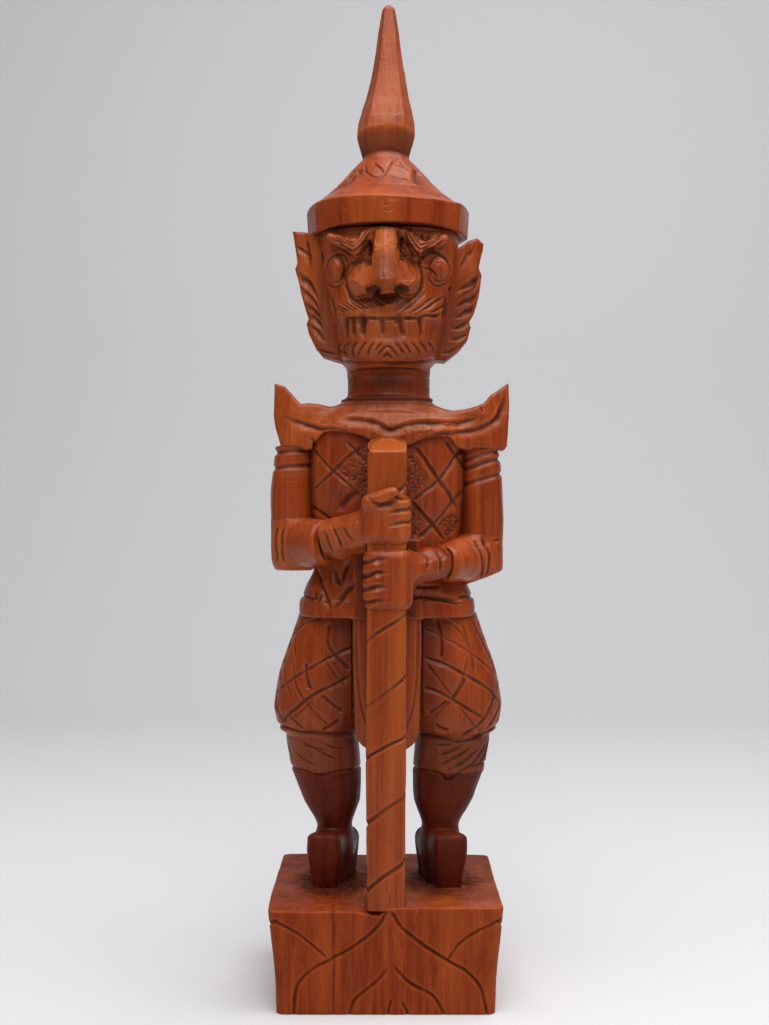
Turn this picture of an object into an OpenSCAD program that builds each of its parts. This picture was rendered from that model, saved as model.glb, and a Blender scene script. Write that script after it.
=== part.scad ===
// Carved standing temple guardian with a club, built from doweled pieces on a square base.
// Millimetres. +Z is up, the figure looks towards -Y, and its own right side is at -X.
// The origin is the middle of the base's underside.

/* [Base] */
// Width of the base along its top
base_w = 80; // [76:1:84]
// Depth of the base from front to back
base_d = 77; // [75:1:84]
// Height of the base
base_h = 37.5; // [32:0.5:45]
// How far the base draws in on each side where it meets the table
base_draw_in = 3; // [0.5:0.5:4]

/* [Figure] */
// From the top of the base to the hem of the coat
leg_h = 97; // [92:1:102]
// From the hem of the coat to the top of the chest
torso_h = 64.5; // [62:0.5:67]
// Thickness of the shoulder collar at the neck
collar_h = 12; // [11:0.5:14]
// From the collar to the rim of the crown, neck included
head_h = 60.5; // [58:0.5:64]
// Span over the two upper arms
arm_span = 84.4; // [83:0.2:86]

/* [Crown] */
// Height of the crown's upright band
band_h = 10; // [8:0.5:12]
// Height of the crown's cone above the band
cone_h = 22; // [18:1:26]
// Radius of the crown at the top of its band
crown_r = 29.2; // [28:0.1:30]
// Height of the pointed finial above the crown
finial_h = 54; // [48:1:60]

/* [Staff] */
// Width of the staff at its foot
staff_foot_w = 13.8; // [12:0.2:14]
// Width of the staff at its head
staff_head_w = 14.2; // [14:0.2:15.6]
// Front-to-back thickness of the staff
staff_t = 12; // [11:0.5:12.5]

/* [Joinery] */
// Radius of the neck dowel
neck_dowel_r = 6; // [4:0.5:7]
// Radius of the hip dowels
hip_dowel_r = 4; // [3:0.5:5]
// Radius of the other dowels
dowel_r = 2.5; // [2:0.25:3]
// Radial glue gap round each dowel
glue_gap = 0.05; // [0.02:0.01:0.1]

/* [Hidden] */

teak = "sienna";
teak_dark = "saddlebrown";
beech = "burlywood";

// Levels of the flat glue faces
hem_z = base_h + leg_h;
chest_z = hem_z + torso_h;
neck_z = chest_z + collar_h;
rim_z = neck_z + head_h;
crown_z = rim_z + band_h + cone_h;
wing_z = chest_z - 4;         // underside of the collar's wings, where the upper arms end

arm_x = arm_span / 2;         // outside of each upper arm
side_x = 27.6;                // flat on each side of the chest, where an upper arm is glued
ear_x = 23.8;                 // flat on each side of the head, where an ear is glued
right_elbow_z = hem_z + 35;   // underside of the right upper arm
left_elbow_z = hem_z + 29;    // underside of the left upper arm
shoulder_z = chest_z - 12;    // height of the shoulder dowels
elbow_h = 18.5;               // height of a bent elbow
leg_x = 19.4;                 // middle of each ankle
hip_x = 17;                   // middle of each hip
leg_y = 2.5;                  // the legs stand this far behind the middle
staff_y = [-31.8, -29.2];     // middle of the staff's thickness at its foot and at its head
staff_top_z = hem_z + 63;
dowel_sink = 12;              // how deep a dowel goes into each piece
end_gap = 0.5;                // free depth past each dowel's end
slack = 0.05;                 // gap between a face and the one that is fitted round it
staff_tenon_r = 3.5;
finial_tenon_r = 4;
crown_dowel_r = 5;
ear_peg_r = 1.5;
ear_peg_z = neck_z + 46;

// One row of a loft: [height, centre x, centre y, half width, half depth, squareness].
// A squareness of 2 is an ellipse, and a larger one is closer to a rectangle.
function spline(a, b, c, d, t) =
    0.5 * (2 * b + (c - a) * t + (2 * a - 5 * b + 4 * c - d) * t * t + (3 * b - a - 3 * c + d) * t * t * t);
function dense(rows, steps) = [
    for (i = [0 : len(rows) - 2], s = [0 : steps - 1])
        spline(rows[max(i - 1, 0)], rows[i], rows[i + 1], rows[min(i + 2, len(rows) - 1)], s / steps),
    rows[len(rows) - 1]
];
function power(v, p) = sign(v) * pow(abs(v), p);
function ring(row, sides) = [
    for (k = [0 : sides - 1]) let (a = 360 * (k + 0.5) / sides, p = 2 / row[5])
        [row[1] + row[3] * power(cos(a), p), row[2] + row[4] * power(sin(a), p), row[0]]
];

// A closed solid through the rows, from the lowest to the highest
module loft(rows, sides = 28, steps = 2) {
    all = steps > 1 ? dense(rows, steps) : rows;
    n = len(all);
    points = [for (row = all) each ring(row, sides)];
    walls = [
        for (j = [0 : n - 2], k = [0 : sides - 1])
            let (a = j * sides + k, b = j * sides + (k + 1) % sides)
                each [[a, a + sides, b], [b, a + sides, b + sides]]
    ];
    ends = [[for (k = [0 : sides - 1]) k], [for (k = [sides - 1 : -1 : 0]) (n - 1) * sides + k]];
    polyhedron(points, concat(walls, ends), convexity = 4);
}

// A cylinder from one point to another
module rod(from, to, r, fn = 32) {
    v = to - from;
    translate(from)
        rotate([0, acos(v[2] / norm(v)), atan2(v[1], v[0])])
            cylinder(r = r, h = norm(v), $fn = fn);
}

module left() {
    mirror([1, 0, 0]) children();
}

// The block that everything stands on, drawn in a little at its foot and eased along its edges
module base_block() {
    ease = 2;
    color(teak) difference() {
        hull() {
            plate(plate_t, 2 * base_draw_in);
            plate(base_h - ease, 0);
            plate(base_h, ease);
        }
        for (side = [-1, 1])
            translate([side * leg_x, leg_y, base_h - dowel_sink - end_gap])
                cylinder(r = dowel_r + glue_gap, h = dowel_sink + 1, $fn = 48);
        translate([0, staff_y[0], base_h - dowel_sink - end_gap])
            cylinder(r = staff_tenon_r + glue_gap, h = dowel_sink + 1, $fn = 48);
    }
}

plate_t = 0.5;

// A thin rounded slice of the base with its top at one level, narrower by the given amount in all
module plate(z, narrower) {
    corner = 3.5;
    half = [(base_w - narrower) / 2 - corner, (base_d - narrower) / 2 - corner];
    for (x = [-1, 1], y = [-1, 1])
        translate([x * half[0], y * half[1], z - plate_t])
            cylinder(r = corner, h = plate_t, $fn = 32);
}

// The club's own shape, a little larger by the extra on every side
module staff_shape(extra = 0, overrun = 0) {
    squareness = 6;
    loft([
        [base_h - overrun, 0, staff_y[0], staff_foot_w / 2 + extra, staff_t / 2 + extra, squareness],
        [staff_top_z + overrun, 0, staff_y[1], staff_head_w / 2 + extra, staff_t / 2 + extra, squareness]
    ], sides = 16, steps = 1);
}

module staff() {
    top_slope = 25;
    color(teak_dark) union() {
        difference() {
            staff_shape();
            translate([0, staff_y[1] - staff_t / 2, staff_top_z - 3])
                rotate([top_slope, 0, 0])
                    translate([-20, -20, 0]) cube([40, 20, 20]);
        }
        translate([0, staff_y[0], base_h - dowel_sink])
            cylinder(r = staff_tenon_r, h = dowel_sink + 1, $fn = 48);
    }
}

// Breeches, cuff and shin of the right leg, from the ankle up to the hem
function leg_rows() = [
    [base_h + 10, -leg_x, leg_y, 7.0, 9.0, 2.3],
    [base_h + 19, -leg_x - 0.4, leg_y, 6.3, 8.2, 2.3],
    [base_h + 29, -20.8, leg_y, 9.5, 10.6, 2.3],
    [base_h + 38, -22.3, leg_y, 11.5, 12.2, 2.4],
    [base_h + 39.5, -22.6, leg_y, 12.0, 12.8, 2.4],
    [base_h + 50.5, -23.8, leg_y, 12.8, 14.0, 2.4],
    [base_h + 53, -23.4, leg_y, 14.8, 15.6, 2.4],
    [base_h + 64, -22.2, leg_y, 19.2, 17.6, 2.4],
    [base_h + 80, -20.6, leg_y, 17.6, 17.2, 2.4],
    [hem_z, -hip_x, leg_y, 15.4, 16.0, 2.4]
];

// The boot, turned out from the ankle, with a flat nose that leans forward over its sole
module boot() {
    turn = 13;
    translate([-leg_x, leg_y, base_h]) rotate([0, 0, -turn]) hull() {
        translate([0, 9, 0]) cylinder(r1 = 5.4, r2 = 6.2, h = 12, $fn = 24);
        translate([0, 0, 17]) cylinder(r = 6.6, h = 1.5, $fn = 24);
        translate([-4.4, -14, 0]) cube([8.8, 8, 3]);
        translate([-6, -16.6, 15]) cube([12, 6, 2]);
    }
}

module right_leg() {
    color(teak) difference() {
        union() {
            loft(leg_rows(), sides = 28, steps = 2);
            boot();
        }
        apron_seat();
        translate([-leg_x, leg_y, base_h - 1])
            cylinder(r = dowel_r + glue_gap, h = dowel_sink + 1 + end_gap, $fn = 48);
        translate([-hip_x, leg_y, hem_z - dowel_sink - end_gap])
            cylinder(r = hip_dowel_r + glue_gap, h = dowel_sink + 1, $fn = 48);
    }
}

module left_leg() {
    left() right_leg();
}

// The hanging front of the sash, between the thighs
apron_w = 25.6;
apron_t = 7.5;
apron_front_y = -19.6;
apron_h = 48;
tongue = [14, 3.5, 6];

module apron_seat() {
    translate([-apron_w / 2 - slack, apron_front_y - 5, hem_z - apron_h - 2])
        cube([apron_w + 2 * slack, apron_t + 5 + slack, apron_h + 3]);
}

module apron_panel() {
    tip_r = 9;
    color(teak_dark) translate([0, apron_front_y + apron_t, 0]) union() {
        rotate([90, 0, 0]) linear_extrude(apron_t) hull() {
            translate([-apron_w / 2, hem_z - 20]) square([apron_w, 20]);
            translate([0, hem_z - apron_h + tip_r]) circle(r = tip_r, $fn = 40);
        }
        translate([-tongue[0] / 2, -apron_t / 2 - tongue[1] / 2 + 1, hem_z - 1])
            cube([tongue[0], tongue[1], tongue[2] + 1]);
    }
}

// The coat from its flared hem to the chest
function torso_rows() = [
    [hem_z, 0, 0, 32.0, 20.0, 2.6],
    [hem_z + 4, 0, 0, 31.0, 19.2, 2.6],
    [hem_z + 11, 0, 0, 28.2, 17.2, 2.6],
    [hem_z + 18, 0, 0, 26.8, 16.2, 2.6],
    [hem_z + 32, 0, 0, 27.6, 16.6, 2.6],
    [hem_z + 50, 0, 0, 28.8, 17.6, 2.6],
    [chest_z, 0, 0, 28.6, 17.0, 2.6]
];

module torso_shape() {
    intersection() {
        loft(torso_rows(), sides = 32, steps = 2);
        union() {
            translate([-side_x, -30, hem_z + 12]) cube([2 * side_x, 60, torso_h]);
            translate([-40, -30, hem_z - 1]) cube([80, 60, 14]);
        }
    }
}

module torso() {
    color(teak) difference() {
        torso_shape();
        for (side = [-1, 1]) {
            translate([side * hip_x, leg_y, hem_z - 1])
                cylinder(r = hip_dowel_r + glue_gap, h = dowel_sink + 1 + end_gap, $fn = 48);
            rod([side * (side_x - dowel_sink - end_gap), 0, shoulder_z],
                [side * (side_x + 5), 0, shoulder_z], dowel_r + glue_gap, fn = 48);
        }
        translate([0, 0, chest_z - dowel_sink - end_gap])
            cylinder(r = neck_dowel_r + glue_gap, h = dowel_sink + 5, $fn = 48);
        translate([-tongue[0] / 2 - slack, apron_front_y + apron_t / 2 - tongue[1] / 2 + 1 - slack, hem_z - 1])
            cube([tongue[0] + 2 * slack, tongue[1] + 2 * slack, tongue[2] + 1 + end_gap]);
    }
}

// Collar with an upswept wing over each shoulder
module shoulder_collar() {
    wing_t = 20;
    drop = wing_z - chest_z;
    flat_x = side_x + slack;
    color(teak) difference() {
        union() {
            loft([
                [chest_z, 0, 0, 28.0, 18.6, 2.6],
                [chest_z + collar_h * 0.4, 0, 0, 27.0, 18.0, 2.5],
                [chest_z + collar_h * 0.75, 0, 0, 20.5, 16.8, 2.3],
                [neck_z, 0, 0, 16.6, 16.0, 2.2]
            ], sides = 32, steps = 2);
            for (side = [0, 1]) mirror([side, 0, 0])
                translate([0, wing_t / 2, chest_z]) rotate([90, 0, 0]) linear_extrude(wing_t)
                    polygon([[-16, 0], [-flat_x, 0], [-flat_x, drop], [3 - arm_x, drop], [1 - arm_x, 4],
                        [-arm_x, 18.5], [4 - arm_x, 17.4], [7.5 - arm_x, 14.5], [11 - arm_x, 11.5],
                        [-25, 10], [-16, 11]]);
        }
        translate([0, 0, chest_z - 1])
            cylinder(r = neck_dowel_r + glue_gap, h = collar_h + 2, $fn = 48);
    }
}

// An upper arm of the right side, standing on its elbow
module upper_arm(elbow_z) {
    mid_x = (arm_x + side_x) / 2;
    half = (arm_x - side_x) / 2;
    color(teak) difference() {
        intersection() {
            loft([
                [elbow_z, -mid_x, 0, half, 9.6, 2.8],
                [elbow_z + 12, -mid_x + 0.3, 0, half - 0.1, 9.8, 2.8],
                [chest_z - 13, -mid_x + 1, 0, half, 9.6, 2.8],
                [wing_z, -mid_x + 1.8, 0, half, 9.2, 2.8]
            ], sides = 24, steps = 2);
            translate([-60, -20, elbow_z]) cube([60 - side_x, 40, 60]);
        }
        rod([-side_x + 1, 0, shoulder_z], [-side_x - 9 - end_gap, 0, shoulder_z], dowel_r + glue_gap, fn = 48);
        translate([-mid_x, 0, elbow_z - 1])
            cylinder(r = dowel_r + glue_gap, h = 10 + end_gap, $fn = 48);
    }
}

module right_upper_arm() {
    upper_arm(right_elbow_z);
}

module left_upper_arm() {
    left() upper_arm(left_elbow_z);
}

// A sleeved forearm of the right side, from under the upper arm to its cuff
right_cuff = [-20, -19.6, right_elbow_z - 8];
right_fist = [-1, -30, hem_z + 35.5];
left_cuff = [-19.6, -19.4, left_elbow_z - 10];
left_fist = [-1, -30, hem_z + 14.5];
cuff_r = 7.9;
wrist_r = 4.2;
wrist_sink = 6;

module forearm(elbow_z, cuff, fist) {
    mid_x = (arm_x + side_x) / 2;
    toward = (fist - cuff) / norm(fist - cuff);
    color(teak) difference() {
        hull() {
            intersection() {
                translate([-mid_x, 0, elbow_z - elbow_h]) scale([1, 1.3, 1])
                    cylinder(r1 = 6.4, r2 = 7.3, h = elbow_h, $fn = 32);
                translate([-60, -20, 0]) cube([60 - side_x, 40, elbow_z]);
            }
            rod(cuff - 2 * toward, cuff, cuff_r);
        }
        torso_shape();
        rod(cuff - (wrist_sink + end_gap) * toward, cuff + toward, wrist_r + glue_gap, fn = 48);
        translate([-mid_x, 0, elbow_z - 9 - end_gap])
            cylinder(r = dowel_r + glue_gap, h = 20, $fn = 48);
    }
}

module right_forearm() {
    forearm(right_elbow_z, right_cuff, right_fist);
}

module left_forearm() {
    left() forearm(left_elbow_z, left_cuff, left_fist);
}

// A fist of the right side, closed round the staff, with the wrist that plugs into its sleeve
module fist(cuff, at, height) {
    toward = (at - cuff) / norm(at - cuff);
    finger_t = 1.5;
    color(teak) difference() {
        union() {
            loft([
                [at[2] - height / 2, 0, -30.2, staff_head_w / 2 + finger_t - 0.5, 7.4, 4],
                [at[2], 0, -30.0, staff_head_w / 2 + finger_t, 8, 4],
                [at[2] + height / 2, 0, -29.8, staff_head_w / 2 + finger_t - 0.3, 7.8, 4]
            ], sides = 24, steps = 2);
            rod(cuff - wrist_sink * toward, at, wrist_r);
            rod(cuff + slack * toward, at, wrist_r + 1.4);
        }
        staff_shape(extra = slack, overrun = 5);
    }
}

module right_hand() {
    fist(right_cuff, right_fist, 19);
}

module left_hand() {
    left() fist(left_cuff, left_fist, 22.5);
}

// Neck and head up to the rim of the crown
module head() {
    color(teak) difference() {
        intersection() {
            union() {
                loft([
                    [neck_z, 0, 1, 15.1, 14.6, 2.2],
                    [neck_z + 9, 0, 1, 14.0, 13.6, 2.2],
                    [neck_z + 14, 0, -1, 16.6, 18.0, 2.4],
                    [neck_z + 18, 0, -1, 18.4, 21.6, 2.6],
                    [neck_z + 27, 0, -0.5, 20.9, 23.4, 2.6],
                    [neck_z + 38, 0, 0, 23.2, 24.2, 2.6],
                    [rim_z - 10, 0, 0, 24.6, 24.6, 2.5],
                    [rim_z, 0, 0, 25.0, 25.0, 2.5]
                ], sides = 32, steps = 2);
                hull() {
                    translate([0, -23, rim_z - 5]) sphere(r = 4, $fn = 20);
                    translate([0, -27, rim_z - 19]) sphere(r = 5, $fn = 20);
                    for (x = [-7, 7]) translate([x, -23.5, rim_z - 19]) sphere(r = 5, $fn = 20);
                }
            }
            translate([-ear_x, -50, neck_z]) cube([2 * ear_x, 100, head_h]);
        }
        translate([0, 0, neck_z - 1])
            cylinder(r = neck_dowel_r + glue_gap, h = dowel_sink + 1 + end_gap, $fn = 48);
        translate([0, 0, rim_z - 9 - end_gap])
            cylinder(r = crown_dowel_r + glue_gap, h = 12, $fn = 48);
        for (side = [-1, 1])
            rod([side * (ear_x - 6 - end_gap), 0, ear_peg_z], [side * (ear_x + 2), 0, ear_peg_z],
                ear_peg_r + glue_gap, fn = 32);
    }
}

// Flame-shaped ear of the right side
module right_ear() {
    ear_t = 10;
    color(teak) difference() {
        translate([0, ear_t / 2, rim_z]) rotate([90, 0, 0]) linear_extrude(ear_t)
            polygon([[-ear_x, -3], [-ear_x, -28], [-22.6, -36], [-19.8, -42], [-17.6, -46],
                [-21, -45.4], [-25.4, -41], [-29, -32], [-32.2, -18], [-33.4, -8], [-34.2, 0.8],
                [-30, 0], [-28.6, -0.6], [-28.6, -3]]);
        rod([-ear_x + 1, 0, ear_peg_z], [-ear_x - 4 - end_gap, 0, ear_peg_z], ear_peg_r + glue_gap, fn = 32);
    }
}

module left_ear() {
    left() right_ear();
}

// Crown: an upright band with a cone above it
module crown_cap() {
    color(teak) difference() {
        translate([0, 0, rim_z]) rotate_extrude($fn = 96)
            polygon([[0, 0], [crown_r - 1, 0], [crown_r, band_h], [crown_r - 1, band_h + 0.8],
                [9.4, band_h + cone_h], [0, band_h + cone_h]]);
        translate([0, 0, rim_z - 1])
            cylinder(r = crown_dowel_r + glue_gap, h = 10 + end_gap, $fn = 48);
        translate([0, 0, crown_z - dowel_sink - end_gap])
            cylinder(r = finial_tenon_r + glue_gap, h = dowel_sink + 1, $fn = 48);
    }
}

// Pointed finial with a bulb and its own turned tenon
module crown_finial() {
    h = finial_h;
    color(teak) translate([0, 0, crown_z]) rotate_extrude($fn = 72)
        polygon([[0, -dowel_sink], [finial_tenon_r, -dowel_sink], [finial_tenon_r, 0], [8.4, 0],
            [9.7, h * 0.08], [10.1, h * 0.15], [9.5, h * 0.24], [8.3, h * 0.36], [6.7, h * 0.5],
            [5.1, h * 0.65], [3.6, h * 0.82], [2.4, h * 0.95], [1, h * 0.995], [0, h]]);
}

module foot_dowels() {
    color(beech) for (side = [-1, 1])
        translate([side * leg_x, leg_y, base_h - dowel_sink])
            cylinder(r = dowel_r, h = 2 * dowel_sink, $fn = 48);
}

module hip_dowels() {
    color(beech) for (side = [-1, 1])
        translate([side * hip_x, leg_y, hem_z - dowel_sink])
            cylinder(r = hip_dowel_r, h = 2 * dowel_sink, $fn = 48);
}

module shoulder_dowels() {
    color(beech) for (side = [-1, 1])
        rod([side * (side_x - dowel_sink), 0, shoulder_z], [side * (side_x + 9), 0, shoulder_z], dowel_r, fn = 48);
}

module elbow_dowels() {
    mid_x = (arm_x + side_x) / 2;
    color(beech) for (at = [[-mid_x, right_elbow_z], [mid_x, left_elbow_z]])
        translate([at[0], 0, at[1] - 9]) cylinder(r = dowel_r, h = 18, $fn = 48);
}

module neck_dowel() {
    color(beech) translate([0, 0, chest_z - dowel_sink])
        cylinder(r = neck_dowel_r, h = collar_h + 2 * dowel_sink, $fn = 48);
}

module crown_dowel() {
    color(beech) translate([0, 0, rim_z - 9]) cylinder(r = crown_dowel_r, h = 18, $fn = 48);
}

module ear_pegs() {
    color(beech) for (side = [-1, 1])
        rod([side * (ear_x - 6), 0, ear_peg_z], [side * (ear_x + 4), 0, ear_peg_z], ear_peg_r, fn = 32);
}

base_block();
staff();
right_leg();
left_leg();
torso();
apron_panel();
shoulder_collar();
right_upper_arm();
left_upper_arm();
right_forearm();
left_forearm();
right_hand();
left_hand();
head();
right_ear();
left_ear();
crown_cap();
crown_finial();
foot_dowels();
hip_dowels();
shoulder_dowels();
elbow_dowels();
neck_dowel();
crown_dowel();
ear_pegs();
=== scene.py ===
"""Looks of the carved temple guardian.

Each visible piece is carved here as a solid field in millimetres, meshed, cut with chisel strokes and
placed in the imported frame. The figure faces -Y and its own right side is at -X.
"""
import math

import bpy
import numpy as np
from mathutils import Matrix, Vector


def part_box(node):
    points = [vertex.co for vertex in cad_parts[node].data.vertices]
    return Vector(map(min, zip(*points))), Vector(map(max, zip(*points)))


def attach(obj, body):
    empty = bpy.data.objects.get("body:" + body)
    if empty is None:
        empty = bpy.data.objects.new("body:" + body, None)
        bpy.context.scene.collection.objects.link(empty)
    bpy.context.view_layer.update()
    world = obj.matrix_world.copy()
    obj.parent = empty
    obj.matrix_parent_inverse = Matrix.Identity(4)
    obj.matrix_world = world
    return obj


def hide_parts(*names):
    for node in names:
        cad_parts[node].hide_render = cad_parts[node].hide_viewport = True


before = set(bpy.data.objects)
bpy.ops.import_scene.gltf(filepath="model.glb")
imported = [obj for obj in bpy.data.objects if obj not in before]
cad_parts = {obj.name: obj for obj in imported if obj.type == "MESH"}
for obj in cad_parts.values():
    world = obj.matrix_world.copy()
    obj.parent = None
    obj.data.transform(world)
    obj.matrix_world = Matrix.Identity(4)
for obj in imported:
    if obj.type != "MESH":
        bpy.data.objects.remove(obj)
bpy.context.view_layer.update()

MM = 0.001


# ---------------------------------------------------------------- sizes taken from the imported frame

def level(node, corner, axis=2):
    """One coordinate of a CAD node's box, in millimetres. Corner 0 is the lowest and 1 the highest."""
    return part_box(node)[corner][axis] / MM


BASE_W = 2 * level("base_block", 1, 0)
BASE_D = 2 * level("base_block", 1, 1)
BASE_Z = level("base_block", 1)
HEM_Z = level("torso", 0)
CHEST_Z = level("torso", 1)
NECK_Z = level("head", 0)
RIM_Z = level("crown_cap", 0)
CROWN_Z = level("crown_cap", 1)
TIP_Z = level("crown_finial", 1)
STAFF_TOP = level("staff", 1)
SIDE_X = level("left_upper_arm", 0, 0)
RIGHT_ELBOW_Z = level("right_upper_arm", 0)
LEFT_ELBOW_Z = level("left_upper_arm", 0)
CROWN_R = level("crown_cap", 1, 0)
APRON_Z = level("apron_panel", 0)
APRON_Y = level("apron_panel", 0, 1)
LEG_X = 19.4          # the ankle's middle
LEG_Y = 2.5
TOES_OUT = 13         # degrees
HIDDEN = 0.5          # how far a piece runs on past its glue face, inside its neighbour


# ---------------------------------------------------------------- fields: negative inside, millimetres

def smooth_min(a, b, r):
    h = np.clip(0.5 + 0.5 * (b - a) / r, 0, 1)
    return b + (a - b) * h - r * h * (1 - h)


def smooth_max(a, b, r):
    return -smooth_min(-a, -b, r)


def ramp(x, start, end):
    """0 before start, 1 after end, smooth between."""
    t = np.clip((x - start) / (end - start), 0, 1)
    return t * t * (3 - 2 * t)


def spline(rows, steps=8):
    """Points along a smooth curve through the rows."""
    rows = np.asarray(rows, float)
    last = len(rows) - 1
    out = []
    for i in range(last):
        a, b = rows[max(i - 1, 0)], rows[i]
        c, d = rows[i + 1], rows[min(i + 2, last)]
        for t in np.arange(steps) / steps:
            out.append(0.5 * (2 * b + (c - a) * t + (2 * a - 5 * b + 4 * c - d) * t ** 2
                              + (3 * b - a - 3 * c + d) * t ** 3))
    out.append(rows[last])
    return np.array(out)


def loft(p, rows, ease, foot=0.0):
    """A solid through rows of [height over foot, centre x, centre y, half width, half depth, squareness]."""
    r = spline([(foot + row[0], *row[1:]) for row in rows])
    z = p[:, 2]
    cx, cy, rx, ry, sq = (np.interp(z, r[:, 0], r[:, k]) for k in range(1, 6))
    u = np.abs(p[:, 0] - cx) / rx + 1e-6
    v = np.abs(p[:, 1] - cy) / ry + 1e-6
    side = ((u ** sq + v ** sq) ** (1 / sq) - 1) * np.minimum(rx, ry)
    ends = np.maximum(r[0, 0] - z, z - r[-1, 0])
    return smooth_max(side, ends, ease)


def ball(p, centre, radii):
    """An ellipsoid."""
    q = (p - np.asarray(centre)) / np.asarray(radii)
    k0 = np.linalg.norm(q, axis=1) + 1e-6
    k1 = np.linalg.norm(q / np.asarray(radii), axis=1) + 1e-6
    return k0 * (k0 - 1) / k1


def rod(p, a, b, ra, rb):
    """A round bar with round ends from a to b, whose radius goes from ra to rb."""
    a, b = np.asarray(a, float), np.asarray(b, float)
    t = np.clip((p - a) @ (b - a) / ((b - a) @ (b - a)), 0, 1)
    return np.linalg.norm(p - a - t[:, None] * (b - a), axis=1) - (ra + (rb - ra) * t)


def faceted(p, a, b, sides, taper):
    """A bar from a to b with flat sides, each an angle from the front upward and a distance."""
    a, b = np.asarray(a, float), np.asarray(b, float)
    along = (b - a) / np.linalg.norm(b - a)
    up = np.array([0, 0, 1.0]) - along[2] * along
    up /= np.linalg.norm(up)
    out = np.cross(along, up)
    out *= -np.sign(out[1])
    q = p - a
    t = q @ along
    size = 1 + (taper - 1) * np.clip(t / np.linalg.norm(b - a), 0, 1)
    field = np.maximum(-t, t - np.linalg.norm(b - a))
    for angle, distance in sides:
        c, s = math.cos(math.radians(angle)), math.sin(math.radians(angle))
        field = smooth_max(field, q @ (c * out + s * up) - distance * size, 0.8)
    return field


def turned(p, centre, degrees):
    """The points seen from a frame at centre that is turned about the vertical."""
    q = p - np.asarray(centre)
    a = math.radians(degrees)
    out = q.copy()
    out[:, 0] = math.cos(a) * q[:, 0] + math.sin(a) * q[:, 1]
    out[:, 1] = -math.sin(a) * q[:, 0] + math.cos(a) * q[:, 1]
    return out


def block(p, centre, half, r):
    """A box with rounded edges."""
    q = np.abs(p - np.asarray(centre)) - np.asarray(half) + r
    return np.linalg.norm(np.maximum(q, 0), axis=1) + np.minimum(q.max(axis=1), 0) - r


def outline(u, v, points):
    """Distance to a closed outline, negative inside."""
    pts = np.asarray(points, float)
    d = np.full(len(u), 1e9)
    inside = np.zeros(len(u), bool)
    for (ax, ay), (bx, by) in zip(pts, np.roll(pts, -1, axis=0)):
        ex, ey = bx - ax, by - ay
        wx, wy = u - ax, v - ay
        t = np.clip((wx * ex + wy * ey) / (ex * ex + ey * ey), 0, 1)
        d = np.minimum(d, (wx - ex * t) ** 2 + (wy - ey * t) ** 2)
        if ay != by:
            crosses = (v >= min(ay, by)) & (v < max(ay, by))
            inside ^= crosses & (u < ax + (v - ay) * ex / ey)
    d = np.sqrt(d)
    return np.where(inside, -d, d)


def hashed(cells, seed):
    """A repeatable number from 0 to 1 for each whole-numbered cell."""
    h = (cells @ np.array([374761393, 668265263, 974711]) + seed * 362437) & 0xFFFFFFFF
    h = ((h ^ (h >> 13)) * 1274126177) & 0xFFFFFFFF
    return ((h ^ (h >> 16)) & 0xFFFF) / 65535.0


def noise(p, size, seed):
    """Smooth noise from -1 to 1 whose bumps are about one size across."""
    q = p / np.asarray(size)
    base = np.floor(q).astype(np.int64)
    f = q - base
    f = f * f * (3 - 2 * f)
    total = np.zeros(len(p))
    for corner in range(8):
        step = np.array([corner & 1, corner >> 1 & 1, corner >> 2 & 1])
        weight = np.prod(np.where(step, f, 1 - f), axis=1)
        total += weight * hashed(base + step, seed)
    return 2 * total - 1


# ---------------------------------------------------------------- meshing

CORNERS = np.array([[i, j, k] for i in (0, 1) for j in (0, 1) for k in (0, 1)])
EDGES = [(a, b) for a in range(8) for b in range(a + 1, 8) if np.abs(CORNERS[a] - CORNERS[b]).sum() == 1]
BLOCK = 4


def sampled(field, axes, step):
    """The field on a grid, exact near the surface and with only the right sign further away."""
    shape = [len(a) for a in axes]
    coarse_axes = [a[0] + step * ((BLOCK - 1) / 2 + BLOCK * np.arange(-(-len(a) // BLOCK))) for a in axes]
    grid = np.stack(np.meshgrid(*coarse_axes, indexing="ij"), -1)
    coarse = field(grid.reshape(-1, 3)).reshape(grid.shape[:3])
    for axis in range(3):
        coarse = np.repeat(coarse, BLOCK, axis=axis)
    values = coarse[:shape[0], :shape[1], :shape[2]].copy()
    near = np.nonzero(np.abs(values) < step * BLOCK * 1.5)
    p = np.stack([axes[a][near[a]] for a in range(3)], -1)
    values[near] = field(p)
    return values


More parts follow.
